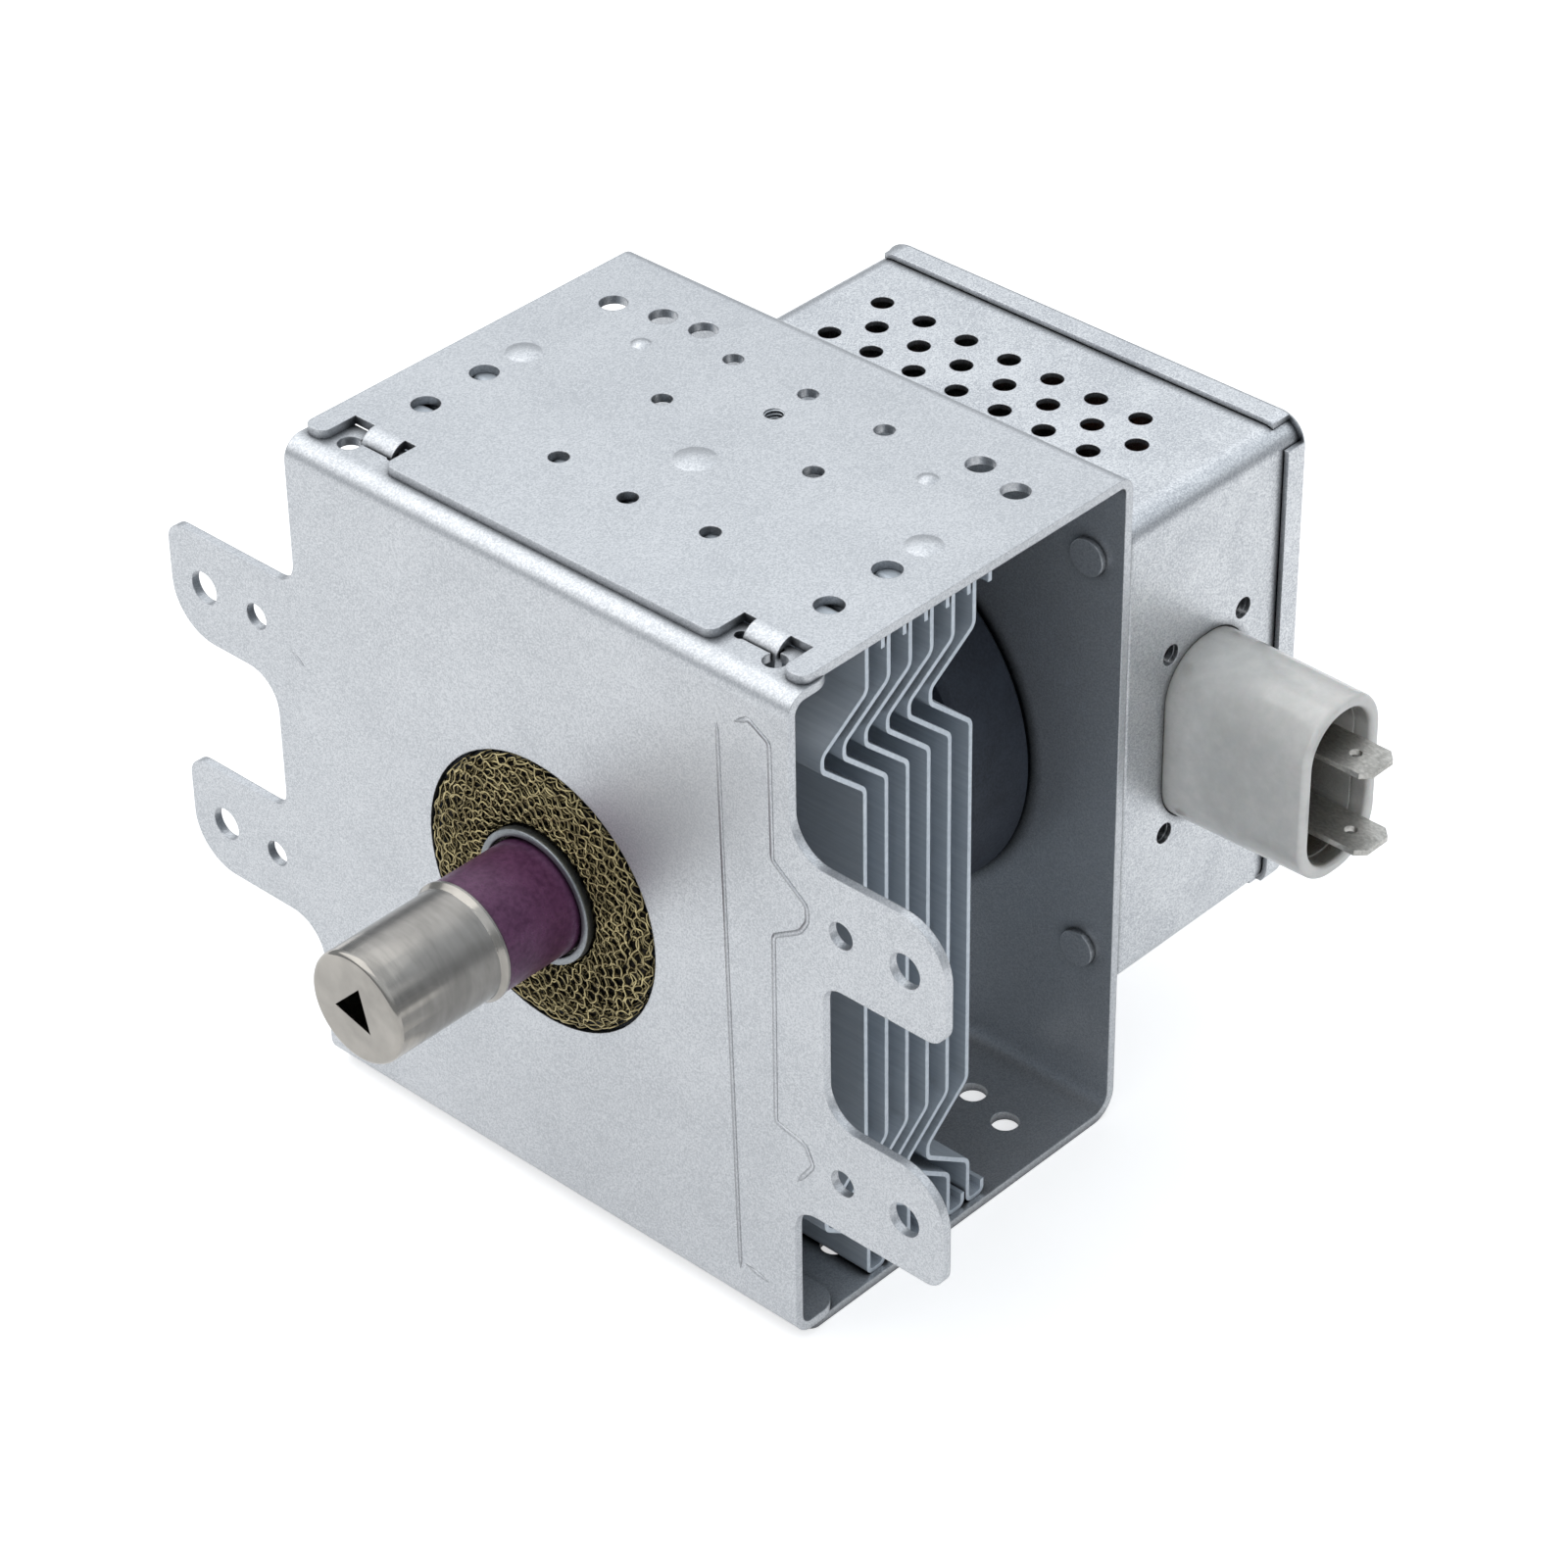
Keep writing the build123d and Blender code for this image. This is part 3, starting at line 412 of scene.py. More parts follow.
class MAGNETRON_OT_steelwork(bpy.types.Operator):
    """Finish the plated sheet: bracket, front plate, filter box and cover, rivets, earth plate"""

    bl_idname = "magnetron.steelwork"
    bl_label = "Plated Steel"

    def execute(self, context):
        colours = context.scene.magnetron_colours
        # Zinc-plated cold-rolled steel, folded and pierced in a press. The bright passivated zinc
        # shows as tiny crystals that catch the light one by one, over slow cloudy changes.
        plated = grained(
            "Zinc plated steel",
            colours.zinc_dark,
            colours.zinc_light,
            grain=0.14,
            roughness=(0.34, 0.44),
            height=0.007,
            edge=0.24,
            # Painted shade: the plate darkens towards a near-black blue grey at seams, in holes and
            # along the gaps between the sheets.
            fleck=0.5,
            painted_shade_reach=2.0,
            painted_shade_colour="#23272D",
            openness=(0.42, 0.9),
            Metallic=0.85,
        )
        dress(plated, "bracket", "front_plate", "box_rivets")
        # The same plating on thinner sheet, with more contrast between its crystals.
        boxed = grained(
            "Zinc plated steel, thin sheet",
            colours.box_dark,
            colours.box_light,
            grain=0.13,
            roughness=(0.3, 0.4),
            height=0.006,
            cloud=9.0,
            edge=0.18,
            fleck=0.45,
            # Painted shade: darker at the box's folds, joints and holes.
            painted_shade_reach=1.5,
            painted_shade_colour="#23272D",
            openness=(0.4, 0.95),
            Metallic=1.0,
        )
        dress(boxed, "filter_box", "filter_cover", "capacitor_earth_plate")
        return {"FINISHED"}


class MAGNETRON_OT_fins(bpy.types.Operator):
    """Finish the six cooling fins"""

    bl_idname = "magnetron.fins"
    bl_label = "Cooling Fins"

    def execute(self, context):
        colours = context.scene.magnetron_colours
        # Rolled aluminium sheet: fine lines along the rolling direction, X, and sheared edges.
        rolled = grained(
            "Rolled aluminium",
            colours.fin_dark,
            colours.fin_light,
            grain=0.6,
            roughness=(0.5, 0.62),
            height=0.003,
            stretch=(0.04, 1, 1),
            edge=0.12,
            # Painted shade: darker where the fins lie under the bracket's top and close to each
            # other.
            painted_shade_reach=3.0,
            painted_shade_colour="#2A2E36",
            openness=(0.1, 0.5),
            Metallic=0.7,
        )
        dress(rolled, *(f"fin_{number}" for number in range(1, 7)))
        return {"FINISHED"}


class MAGNETRON_OT_magnets(bpy.types.Operator):
    """Finish the ring magnets and the choke cores"""

    bl_idname = "magnetron.magnets"
    bl_label = "Ferrite"

    def execute(self, context):
        # Sintered ferrite: a blue-black ceramic, matt where pressed, faintly shiny where ground.
        sintered = grained(
            "Sintered ferrite",
            linear("#151B27"),
            linear("#232D3C"),
            grain=0.35,
            roughness=(0.55, 0.75),
            height=0.01,
            cloud=8.0,
            edge=0.2,
            IOR=1.6,
        )
        dress(sintered, "front_magnet", "rear_magnet", "choke_cores")
        return {"FINISHED"}


class MAGNETRON_OT_antenna(bpy.types.Operator):
    """Finish the antenna: its cup, ceramic, sleeve, tube and cap"""

    bl_idname = "magnetron.antenna"
    bl_label = "Antenna"

    def execute(self, context):
        colours = context.scene.magnetron_colours
        # Nickel plated deep-drawn steel, brazed in a furnace: grey and smooth.
        drawn = grained(
            "Nickel plated steel",
            linear("#8C8C8A"),
            linear("#C4C3BF"),
            grain=0.5,
            roughness=(0.22, 0.36),
            height=0.004,
            Metallic=1.0,
        )
        dress(drawn, "antenna_seal_cup", "cathode_seal_cup", "antenna_sleeve", "exhaust_tube")
        # Stainless steel, drawn and tumbled: satin, with soft warm reflections and faint rings
        # left by the tool round the antenna's axis.
        satin = grained(
            "Satin stainless steel",
            linear("#9E9A94"),
            linear("#B8B3AC"),
            grain=1.6,
            roughness=(0.13, 0.2),
            height=0.0002,
            stretch=(0.3, 1.5, 0.3),
            cloud=7.0,
            edge=0.1,
            Metallic=1.0,
        )
        dress(satin, "antenna_cap")
        # Purple alumina, pressed, fired and ground: dense and slightly glossy, with rub marks.
        purple = grained(
            "Purple alumina",
            colours.ceramic_dark,
            colours.ceramic_light,
            grain=0.7,
            roughness=(0.26, 0.36),
            height=0.002,
            cloud=6.0,
            # Painted shade: darker where the ceramic meets the cup and the cap.
            painted_shade_reach=0.8,
            painted_shade_colour="#1C101C",
            IOR=1.45,
        )
        dress(purple, "antenna_ceramic")
        # White alumina of the cathode's stem.
        white = grained(
            "White alumina",
            linear("#DAD8D2"),
            linear("#F0EEEA"),
            grain=0.5,
            roughness=(0.35, 0.55),
            height=0.006,
            IOR=1.7,
        )
        dress(white, "cathode_ceramic")
        return {"FINISHED"}


class MAGNETRON_OT_tube_inside(bpy.types.Operator):
    """Finish the vacuum tube's inner parts and the filter's parts inside the box"""

    bl_idname = "magnetron.tube_inside"
    bl_label = "Tube Inside"

    def execute(self, context):
        # Oxygen-free copper, machined and fired in hydrogen: salmon pink and bright.
        copper = grained(
            "Oxygen free copper",
            linear("#B5694C"),
            linear("#DB9878"),
            grain=0.4,
            roughness=(0.22, 0.4),
            height=0.006,
            cloud=6.0,
            Metallic=1.0,
        )
        dress(copper, "anode_vanes", "strap_rings", "antenna_lead")
        # The same copper outside the vacuum, dulled brown in the air.
        dulled = grained(
            "Dulled copper",
            linear("#4A4644"),
            linear("#625A54"),
            grain=0.6,
            roughness=(0.35, 0.5),
            height=0.006,
            cloud=6.0,
            Metallic=1.0,
        )
        dress(dulled, "anode_cylinder")
        # Pressed soft iron with a nickel flash.
        iron = grained(
            "Nickel flashed iron",
            linear("#85868A"),
            linear("#ABACB0"),
            grain=0.5,
            roughness=(0.3, 0.45),
            height=0.006,
            Metallic=1.0,
        )
        dress(iron, "front_pole_piece", "rear_pole_piece")
        # Molybdenum and thoriated tungsten: dark grey, drawn along the wire.
        grey_metal = grained(
            "Drawn molybdenum",
            linear("#6A6C70"),
            linear("#93959A"),
            grain=0.3,
            roughness=(0.25, 0.4),
            height=0.004,
            Metallic=1.0,
        )
        dress(grey_metal, "front_end_hat", "rear_end_hat", "filament", "centre_lead", "side_lead")
        # Copper wire with a clear amber enamel.
        enamelled = grained(
            "Enamelled copper wire",
            linear("#8A3E1E"),
            linear("#B4602E"),
            grain=0.6,
            roughness=(0.2, 0.32),
            height=0.004,
            Metallic=0.9,
            Coat_Weight=0.8,
            Coat_Roughness=0.12,
        )
        dress(enamelled, "choke_windings")
        # Phenolic moulding round the capacitor.
        phenolic = grained(
            "Phenolic moulding",
            linear("#2E2A28"),
            linear("#44403C"),
            grain=0.7,
            roughness=(0.35, 0.5),
            height=0.01,
            IOR=1.6,
        )
        dress(phenolic, "capacitor_body")
        return {"FINISHED"}


class MAGNETRON_OT_socket(bpy.types.Operator):
    """Finish the socket and its two blades"""

    bl_idname = "magnetron.socket"
    bl_label = "Socket"

    def execute(self, context):
        colours = context.scene.magnetron_colours
        # Injection-moulded polyester, PBT: off-white and glossy, with a slight waviness.
        moulded = grained(
            "Moulded polyester",
            colours.socket_dark,
            colours.socket_light,
            grain=1.6,
            roughness=(0.12, 0.2),
            height=0.003,
            cloud=11.0,
            edge=0.12,
            # Painted shade: a dark brown deep in the socket's cavity and a little near the box,
            # standing in for the shade there.
            painted_shade_reach=12.0,
            painted_shade_colour="#453E32",
            openness=(0.22, 0.66),
            IOR=1.7,
            Subsurface_Weight=0.12,
            Subsurface_Scale=0.0012,
        )
        dress(moulded, "socket_shell")
        # Tin-plated brass strip, blanked: dull grey with rub marks along its length, X.
        tinned = grained(
            "Tin plated brass",
            linear("#A9A7A2"),
            linear("#DEDCD7"),
            grain=0.35,
            roughness=(0.34, 0.5),
            height=0.012,
            stretch=(0.6, 1, 1),
            cloud=5.0,
            edge=0.15,
            # Painted shade: darker where the blades enter the socket and in their holes.
            painted_shade_reach=0.8,
            painted_shade_colour="#3C3A36",
            Metallic=1.0,
        )
        dress(tinned, "upper_blade", "lower_blade", "cathode_terminals")
        return {"FINISHED"}


class MAGNETRON_OT_gasket(bpy.types.Operator):
    """Knit the wire gasket round the antenna's collar"""

    bl_idname = "magnetron.gasket"
    bl_label = "Knitted Gasket"

    def execute(self, context):
        sizes = context.scene.magnetron_sizes
        colours = context.scene.magnetron_colours
        low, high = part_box("gasket")
        wire, stitch, course = (value / MM for value in (sizes.wire, sizes.stitch, sizes.course))
        front, back, outer = low.y / MM, high.y / MM, high.x / MM
        # The ring's bore, the space behind it, and how square its section is at the sides and at
        # the face: 1 is an ellipse, and less is squarer.
        bore, behind, side_power, face_power = 9.1, 0.2, 0.55, 0.42
        middle, half = (outer + bore) / 2, (outer - bore) / 2 - wire / 2

        def surface(along, sunk):
            """The ring's section: a superellipse from the bore, over the front, to the rim.

            Its radius is the middle plus the half width times the cosine to a small power, and
            its depth falls from the back to the front with the sine to a small power. Along runs
            from 0 at the bore to 1 at the rim, and sunk is how far under the outline it lies. It
            returns the radii, the depths and the section's whole length.
            """
            fine = np.linspace(0, np.pi, 400)
            bent = np.sign(np.cos(fine)) * np.abs(np.cos(fine)) ** side_power
            radius = middle - (half - sunk) * bent
            forward = front + wire / 2 + sunk - back + behind
            depth = back - behind + forward * np.abs(np.sin(fine)) ** face_power
            walked = np.concatenate([[0], np.cumsum(np.hypot(np.diff(radius), np.diff(depth)))])
            at = np.clip(along, 0, 1) * walked[-1]
            return np.interp(at, walked, radius), np.interp(at, walked, depth), walked[-1]

        # Brass wire knitted into a stocking, rolled up and pressed flat: tan gold, with painted
        # shade, a dark brown, between the loops.
        brass = grained(
            "Knitted brass wire",
            colours.brass_dark,
            colours.brass_light,
            grain=0.9,
            roughness=(0.28, 0.45),
            height=0.003,
            cloud=4.0,
            painted_shade_reach=1.0,
            painted_shade_colour="#1E1A12",
            openness=(0.25, 0.7),
            Metallic=1.0,
        )
        # How deep each layer of knitting lies under the outline, the points of a stitch and the
        # sides of the wire.
        layers, stitch_points, wire_sides = (0.0, 0.4, 0.8), 11, 5
        # A loop's height from its course's middle, in courses; how flat its top is; how far the
        # wire passes over and under; and how uneven it is round the ring and along the section.
        loop_height, flatness, weave, uneven_turn, uneven_course = 0.52, 2.2, 0.1, 0.3, 0.12
        rng = np.random.default_rng(11)
        length = surface(np.array([0.0]), 0.0)[2]
        courses = int(length / course)
        stitches = int(2 * np.pi * middle / stitch)
        t = np.linspace(0, 2 * np.pi * stitches, stitches * stitch_points, endpoint=False)
        loop = loop_height * np.tanh(flatness * np.cos(t)) / np.tanh(flatness)

        def swing():
            """A sum of six sines of chance height, rate and start, all slower than a stitch."""
            heights = rng.normal(0, 1, 6)[:, None]
            rates = rng.integers(3, 40, 6)[:, None]
            starts = rng.uniform(0, 6.3, 6)[:, None]
            return (heights * np.sin(rates * t / stitches + starts)).sum(0)

        grids = []
        for sunk in layers:
            start = rng.uniform(0, 2 * np.pi)
            for number in range(courses):
                level = (number + 0.5) / courses
                # The knitted wire's path: the turn goes steadily forward; the way along the section
                # is a cosine flattened by a hyperbolic tangent and a little over half a course
                # high, and the next course runs half a stitch behind, so the loops hook into each
                # other and leave six-sided cells; the depth is a cosine of twice the rate, so
                # the wire passes over and under.
                turn = (t + uneven_turn * swing()) / stitches
                turn = turn + start + np.pi * number / stitches
                along = level + course * (loop + uneven_course * swing()) / length
                radius, depth, _ = surface(along, sunk)
                depth = depth + weave * (1 - np.cos(2 * t))
                path = np.stack([radius * np.cos(turn), depth, radius * np.sin(turn)], -1)
                section = circle(wire / 2, wire_sides)
                grids.append((carried(path, section, (0, 1, 0.001), True), True))
        knit = make_piece("gasket_knit", grids, brass)
        # The inner windings of the same wire, seen only as a dark bed between the loops. Its
        # near-black colour is painted shade, standing in for the shade deep in the knit.
        bed = grained(
            "Brass bed in painted shade",
            linear("#120F0B"),
            linear("#2A2318"),
            grain=0.5,
            roughness=(0.5, 0.8),
            height=0.1,
            cloud=2.0,
            Metallic=0.5,
        )
        bed_depth = 1.15
        radius, depth, _ = surface(np.linspace(0, 1, 40), bed_depth)
        section = np.stack([radius, depth], -1)
        ring = make_piece("gasket_bed", [(turned(section, 120), True)], bed)
        for piece in (knit, ring):
            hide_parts("gasket")
        return {"FINISHED"}


class MAGNETRON_OT_thread(bpy.types.Operator):
    """Cut the thread in the bracket's top"""

    bl_idname = "magnetron.thread"
    bl_label = "Thread"

    def execute(self, context):
        pitch = context.scene.magnetron_sizes.thread_pitch / MM
        # The hole's radius, how far it is from the bracket's back, the thread's depth and how far
        # under the sheet's top it starts.
        core, inset, depth, lead_in = 1.25, 18.05, 2.3, 0.1
        bracket_back, sheet_top = 59.9, 47.85
        # A small ridge on a helix: it sinks by one pitch a turn, and grows from nothing and
        # shrinks to nothing over the first and last angle of its run.
        turns, run_out = depth / pitch, 1.5
        turn = np.linspace(0, 2 * np.pi * turns, int(40 * turns))
        path = np.stack(
            [
                core * np.cos(turn),
                bracket_back - inset + core * np.sin(turn),
                sheet_top - lead_in - pitch * turn / (2 * np.pi),
            ],
            -1,
        )
        grow = np.clip(np.minimum(turn, turn[-1] - turn) / run_out, 0, 1)[:, None, None]
        crest, flank, foot, root = 0.24, 0.22, -0.02, -0.06
        section = np.array([[foot, -flank], [crest, 0.0], [foot, flank], [root, 0.0]]) * grow
        inwards = np.stack([-np.cos(turn), -np.sin(turn), 0 * turn], -1)
        up = np.array([0, 0, 1.0])
        ridge = path[:, None] + inwards[:, None] * section[..., 0:1] + up * section[..., 1:2]
        # The bracket's steel where the tap cut through its plating: bright and torn.
        cut = grained(
            "Cut thread",
            linear("#9EA2A8"),
            linear("#D4D8DC"),
            grain=0.4,
            roughness=(0.25, 0.4),
            height=0.005,
            Metallic=1.0,
        )
        make_piece("top_thread", [(ridge, False)], cut)
        return {"FINISHED"}


class MAGNETRON_OT_press_lines(bpy.types.Operator):
    """Raise the faint lines that the press left on the front plate"""

    bl_idname = "magnetron.press_lines"
    bl_label = "Press Lines"

    def execute(self, context):
        height = context.scene.magnetron_sizes.press_height / MM
        # Each line's points, X and Z on the plate's face, and its share of the height.
        edge_line = [(32.5, 40.0), (34.8, 41.4), (38.0, 39.6), (38.2, 23.6), (43.4, 19.7)]
        edge_line += [(43.5, 17.5), (42.3, 15.5), (38.2, 12.9), (38.1, -14.5), (42.8, -15.5)]
        edge_line += [(44.0, -18.1), (41.3, -21.9)]
        lines = (
            (edge_line, 1.0),
            ([(32.5, -39.6), (36.7, -40.4)], 1.0),
            ([(-42.7, 15.8), (-40.0, 14.3)], 1.0),
            ([(30.0, 39.0), (30.9, 0.0), (31.8, -41.0)], 0.35),
        )
        # A low bulge carried along the line, which tapers off over a few steps at each end. Across
        # is in millimetres, and up is in heights, with the edges under the plate's face.
        half, shoulder = 0.35, 0.18
        bulge = np.array(
            [
                [-half, -0.5],
                [-shoulder, 0.5],
                [0.0, 1.0],
                [shoulder, 0.5],
                [half, -0.5],
                [0.0, -1.5],
            ]
        )
        step, softness, taper_steps = 0.25, 0.5, 6
        grids = []
        for line, share in lines:
            walk = spaced(line, step, softness)
            path = np.stack([walk[:, 0], 0 * walk[:, 0], walk[:, 1]], -1)
            far = np.linspace(0, 1, len(path))
            fade = np.clip(np.minimum(far, 1 - far) * len(path) / taper_steps, 0, 1)
            section = bulge * np.array([1.0, share * height]) * fade[:, None, None]
            grids.append((carried(path, section, (0, 1, 0), False), False))
        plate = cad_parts["front_plate"].data.materials[0]
        make_piece("press_lines", grids, plate).data.shade_flat()
        return {"FINISHED"}


class MAGNETRON_OT_collar_rim(bpy.types.Operator):
    """Roll the rim of the antenna's collar"""

    bl_idname = "magnetron.collar_rim"
    bl_label = "Collar Rim"

    def execute(self, context):
        # The rim stands close in the gasket's bore, round in front. Its front is an arch: it falls
        # back from the middle with one minus the root of the sine.
        radius, half, front, back, crown = 8.6, 0.5, -1.5, -0.3, 0.34
        arc = np.linspace(0, np.pi, 17)
        arch = np.stack(
            [radius - half * np.cos(arc), front + crown * (1 - np.sqrt(np.sin(arc)))], -1
        )
        section = np.concatenate([arch, [[radius + half, back], [radius - half, back]]])
        # Nickel plating dulled by the furnace.
        rolled = grained(
            "Dull nickel",
            linear("#83878B"),
            linear("#ABAFB2"),
            grain=0.25,
            roughness=(0.4, 0.52),
            height=0.004,
            # Painted shade: darker where the rim meets the cup and the gasket.
            painted_shade_reach=0.6,
            painted_shade_colour="#15171A",
            Metallic=1.0,
        )
        make_piece("collar_bead", [(turned(section, 120), True)], rolled)
        return {"FINISHED"}


class MAGNETRON_OT_socket_step(bpy.types.Operator):
    """Add the ledge inside the socket"""

    bl_idname = "magnetron.socket_step"
    bl_label = "Socket Step"

    def execute(self, context):
        # A rounded rectangle about the socket's middle, carried inwards from its mouth: four
        # corner arcs joined by straight walls.
        mouth, middle_y, middle_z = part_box("socket_shell")[1].x / MM, 75.5, 4.5
        half_width, half_height, corner, corner_points = 5.69, 10.94, 5.4, 12
        # The ledge's depths under the mouth, how far it reaches in, and how far it is sunk in the
        # shell's wall.
        near, far, proud, buried = 2.6, 14.0, -0.28, 0.1
        quarter = np.linspace(0, 90, corner_points)
        turn = np.radians(np.concatenate([quarter + 90 * k for k in range(4)]))
        side_y = np.repeat([1, -1, -1, 1], corner_points) * (half_width - corner)
        side_z = np.repeat([1, 1, -1, -1], corner_points) * (half_height - corner)
        ledge = [
            np.stack(
                [
                    0 * turn + mouth - depth,
                    middle_y + side_y + (corner + out) * np.cos(turn),
                    middle_z + side_z + (corner + out) * np.sin(turn),
                ],
                -1,
            )
            for out, depth in ((buried, near), (proud, near), (proud, far), (buried, far))
        ]
        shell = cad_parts["socket_shell"].data.materials[0]
        grids = [(np.stack(ledge, 1), True)]
        make_piece("socket_step", grids, shell).data.shade_flat()
        return {"FINISHED"}


class MAGNETRON_OT_cap_braze(bpy.types.Operator):
    """Run the solder round the joint of the antenna's ceramic and cap"""

    bl_idname = "magnetron.cap_braze"
    bl_label = "Cap Braze"

    def execute(self, context):
        low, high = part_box("antenna_ceramic")
        ceramic_radius, end = high.x / MM, low.y / MM
        # A hollow fillet: a quarter turn whose radius grows with one minus the cosine and whose
        # depth grows with the sine, closed by one point inside the ceramic.
        foot_in, foot_down, out, along, tuck_in, tuck_up = 0.45, 0.3, 0.38, 0.42, 0.5, 0.15
        arc = np.linspace(0, np.pi / 2, 7)
        fillet = np.stack(
            [
                ceramic_radius - foot_in + out * (1 - np.cos(arc)),
                end - foot_down + along * np.sin(arc),
            ],
            -1,
        )
        section = np.concatenate([fillet, [[ceramic_radius - tuck_in, end + tuck_up]]])
        # Silver solder, melted in the furnace: bright and a little yellow.
        silver = grained(
            "Silver braze",
            linear("#B4AFA4"),
            linear("#E0DCD2"),
            grain=0.5,
            roughness=(0.18, 0.3),
            height=0.01,
            Metallic=1.0,
        )
        make_piece("cap_braze", [(turned(section, 96), True)], silver)
        return {"FINISHED"}


class MAGNETRON_OT_stage(bpy.types.Operator):
    """Set up the floor, the room, the lamps and the camera"""

    bl_idname = "magnetron.stage"
    bl_label = "Studio"

    def execute(self, context):
        scene = context.scene
        stage = scene.magnetron_stage
        self.lay_floor(scene, stage)
        self.light_room(scene, stage)
        self.hang_lamps(scene)
        self.place_camera(scene, stage)
        scene.view_settings.view_transform = "Standard"
        return {"FINISHED"}

    def lay_floor(self, scene, stage):
        """The table that the tube stands on."""
        # The table: a matt pale sheet that the eye and shiny metal see as white, except where the
        # object's shadow falls.
        material, tree, shader = blank("Pale matt card", Roughness=0.9)
        shader.inputs["Specular IOR Level"].default_value = 0.1
        place = add(tree, "ShaderNodeTexCoord").outputs["Object"]
        fibre = add(
            tree, "ShaderNodeTexNoise", {"Scale": 60.0, "Detail": 3.0}, {"Vector": place}
        ).outputs["Fac"]
        tint = add(
            tree,
            "ShaderNodeMix",
            {"A": stage.floor, "B": linear("#EEEEEE")},
            {"Factor": fibre},
            data_type="RGBA",
        ).outputs["Result"]
        tree.links.new(tint, shader.inputs["Base Color"])
        seen = self.seen(tree)
        # Its own light, as the metal sees it and what the camera sees on top of that.
        seen_lift, camera_lift = 0.3, 0.3
        lift = add(
            tree, "ShaderNodeMath", {1: seen_lift}, {0: seen}, operation="MULTIPLY"
        ).outputs["Value"]
        camera_ray = add(tree, "ShaderNodeLightPath").outputs["Is Camera Ray"]
        lift = add(
            tree,
            "ShaderNodeMath",
            {1: camera_lift},
            {0: camera_ray, 2: lift},
            operation="MULTIPLY_ADD",
        ).outputs["Value"]
        glow = add(tree, "ShaderNodeEmission", {"Color": (1, 1, 1, 1)}, {"Strength": lift})
        both = add(
            tree,
            "ShaderNodeAddShader",
            None,
            {0: shader.outputs["BSDF"], 1: glow.outputs["Emission"]},
        )
        tree.links.new(both.outputs["Shader"], tree.nodes["Material Output"].inputs["Surface"])
        # Four square cells, in metres.
        ground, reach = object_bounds()[0].z, 0.9
        mesh = bpy.data.meshes.new("floor")
        lines = np.linspace(-reach, reach, 3)
        across, along = np.meshgrid(lines, lines)
        corners = np.stack([across, along, np.full_like(across, ground)], -1).reshape(-1, 3)
        cell = np.array([0, 1, 4, 3])
        faces = [(cell + shift).tolist() for shift in (0, 1, 3, 4)]
        mesh.from_pydata(corners.tolist(), [], faces)
        mesh.materials.append(material)
        floor = bpy.data.objects.new("floor", mesh)
        scene.collection.objects.link(floor)
        floor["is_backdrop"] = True

    def light_room(self, scene, stage):
        """The room: an even soft light, a little cool.

        The eye sees it white; shiny metal sees it bright overhead and darker towards the walls.
        """
        world = bpy.data.worlds.new("Studio room")
        world.use_nodes = True
        scene.world = world
        tree = world.node_tree
        height = add(
            tree,
            "ShaderNodeSeparateXYZ",
            None,
            {"Vector": add(tree, "ShaderNodeTexCoord").outputs["Object"]},
        ).outputs["Z"]
        # The heights, as shares of a full circle's radius, between which the wall turns bright.
        wall_foot, wall_top, wall_dark = 0.25, 0.62, 0.4
        wall = add(
            tree,
            "ShaderNodeMapRange",
            {"From Min": wall_foot, "From Max": wall_top, "To Min": wall_dark, "To Max": 1.0},
            {"Value": height},
            interpolation_type="SMOOTHSTEP",
        ).outputs["Result"]
        path = add(tree, "ShaderNodeLightPath")
        strength = add(
            tree,
            "ShaderNodeMix",
            {"A": stage.ambient},
            {"Factor": path.outputs["Is Glossy Ray"], "B": wall},
            data_type="FLOAT",
        ).outputs["Result"]
        strength = add(
            tree,
            "ShaderNodeMix",
            {"B": 1.0},
            {"Factor": path.outputs["Is Camera Ray"], "A": strength},
            data_type="FLOAT",
        ).outputs["Result"]
        background = tree.nodes["Background"]
        cool = add(
            tree,
            "ShaderNodeMix",
            {"A": (0.9, 0.95, 1.0, 1.0), "B": (1, 1, 1, 1)},
            {"Factor": path.outputs["Is Camera Ray"]},
            data_type="RGBA",
        ).outputs["Result"]
        tree.links.new(cool, background.inputs["Color"])
        tree.links.new(strength, background.inputs["Strength"])

    def hang_lamps(self, scene):
        """Two soft boxes, a little warm. Each looks at the tube's middle."""
        middle = Vector((0.0, 0.03, 0.0))
        # Name, place and width in metres, and power in watts.
        for name, place, width, watts in (
            ("key_box", (-0.5, -0.35, 0.95), 1.5, 6.0),
            ("back_box", (-0.4, 0.6, 0.75), 0.8, 0.5),
        ):
            lamp = bpy.data.lights.new(name, "AREA")
            lamp.size = width
            lamp.energy = watts
            lamp.color = (1.0, 0.975, 0.945)
            holder = bpy.data.objects.new(name, lamp)
            holder.matrix_world = Matrix.Translation(place) @ (
                (Vector(place) - middle).to_track_quat("Z", "Y").to_matrix().to_4x4()
            )
            scene.collection.objects.link(holder)

    def place_camera(self, scene, stage):
        """The camera, where the photograph was taken from.

        It stands off from a point in the tube, along the line that the azimuth and elevation
        give, and is moved a little to the side and up.
        """
        azimuth, elevation, roll = stage.azimuth, stage.elevation, stage.roll
        away = Vector(
            (
                math.cos(elevation) * math.sin(azimuth),
                -math.cos(elevation) * math.cos(azimuth),
                math.sin(elevation),
            )
        )
        level = Vector((math.cos(azimuth), math.sin(azimuth), 0))
        upright = away.cross(level)
        right = math.cos(roll) * level + math.sin(roll) * upright
        up = away.cross(right)
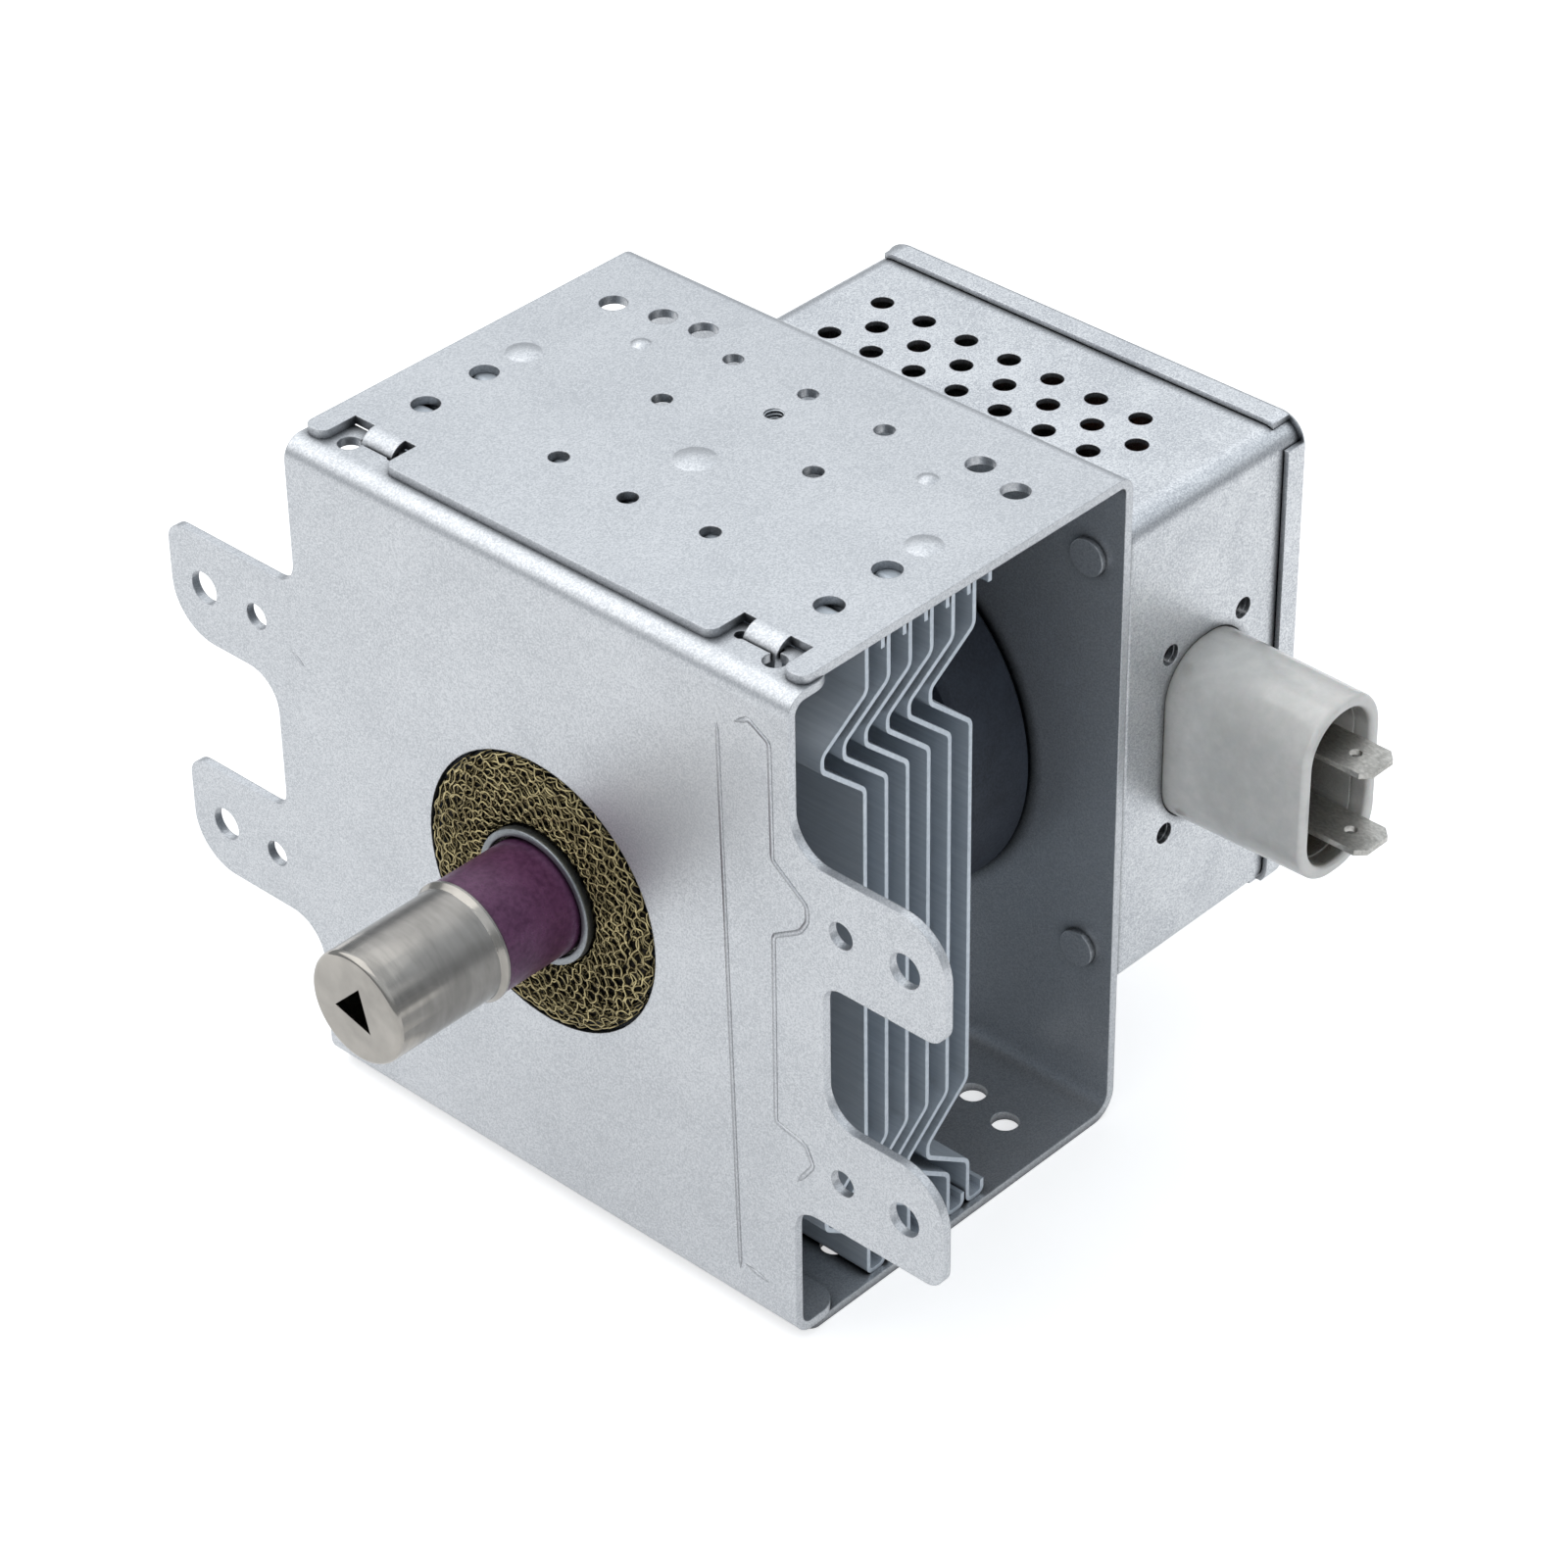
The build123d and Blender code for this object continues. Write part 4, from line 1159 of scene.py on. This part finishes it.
        # The distance and shifts were solved in a unit of 1.04 mm, from the foot of the bracket.
        unit = 1.04 * MM
        foot = Vector((5.81, 0, -47.85)) * MM
        distance, sideways, upwards, aim = 594.805, -0.654, 5.463, Vector((0, 30, 42))
        place = foot + unit * (distance * away + sideways * right + upwards * up + aim)
        lens = bpy.data.cameras.new("photo_camera")
        lens.lens = stage.lens
        lens.sensor_width = 36
        lens.shift_x = 0.02178
        lens.shift_y = -0.003
        lens.clip_start = 0.01
        camera = bpy.data.objects.new("photo_camera", lens)
        turn = Matrix((right, up, away)).transposed().to_4x4()
        camera.matrix_world = Matrix.Translation(place) @ turn
        scene.collection.objects.link(camera)
        scene.camera = camera

    def seen(self, tree):
        """1 for rays from the camera and for those that gloss or glass sends on, else 0."""
        path = add(tree, "ShaderNodeLightPath")
        first = add(
            tree,
            "ShaderNodeMath",
            None,
            {0: path.outputs["Is Camera Ray"], 1: path.outputs["Is Glossy Ray"]},
            operation="MAXIMUM",
        ).outputs["Value"]
        return add(
            tree,
            "ShaderNodeMath",
            None,
            {0: first, 1: path.outputs["Is Transmission Ray"]},
            operation="MAXIMUM",
        ).outputs["Value"]


STEPS = (
    MAGNETRON_OT_steelwork,
    MAGNETRON_OT_fins,
    MAGNETRON_OT_magnets,
    MAGNETRON_OT_antenna,
    MAGNETRON_OT_tube_inside,
    MAGNETRON_OT_socket,
    MAGNETRON_OT_gasket,
    MAGNETRON_OT_thread,
    MAGNETRON_OT_press_lines,
    MAGNETRON_OT_collar_rim,
    MAGNETRON_OT_socket_step,
    MAGNETRON_OT_cap_braze,
    MAGNETRON_OT_stage,
)


class VIEW3D_PT_magnetron(bpy.types.Panel):
    """Lists the steps that finish the magnetron"""

    bl_label = "Magnetron"
    bl_category = "Magnetron"
    bl_space_type = "VIEW_3D"
    bl_region_type = "UI"

    def draw(self, context):
        for step in STEPS:
            self.layout.operator(step.bl_idname)
        for group in ("magnetron_sizes", "magnetron_colours", "magnetron_stage"):
            values = getattr(context.scene, group)
            box = self.layout.box()
            for name in values.__annotations__:
                box.prop(values, name)


GROUPS = {
    "magnetron_sizes": MagnetronSizes,
    "magnetron_colours": MagnetronColours,
    "magnetron_stage": MagnetronStage,
}


def register():
    for name, group in GROUPS.items():
        bpy.utils.register_class(group)
        setattr(bpy.types.Scene, name, bpy.props.PointerProperty(type=group))
    for step in STEPS:
        bpy.utils.register_class(step)
    bpy.utils.register_class(VIEW3D_PT_magnetron)


def unregister():
    bpy.utils.unregister_class(VIEW3D_PT_magnetron)
    for step in reversed(STEPS):
        bpy.utils.unregister_class(step)
    for name, group in GROUPS.items():
        delattr(bpy.types.Scene, name)
        bpy.utils.unregister_class(group)


def main():
    """Registers the add-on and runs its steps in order."""
    register()
    for step in STEPS:
        group, name = step.bl_idname.split(".")
        getattr(getattr(bpy.ops, group), name)()


if __name__ == "__main__":
    main()
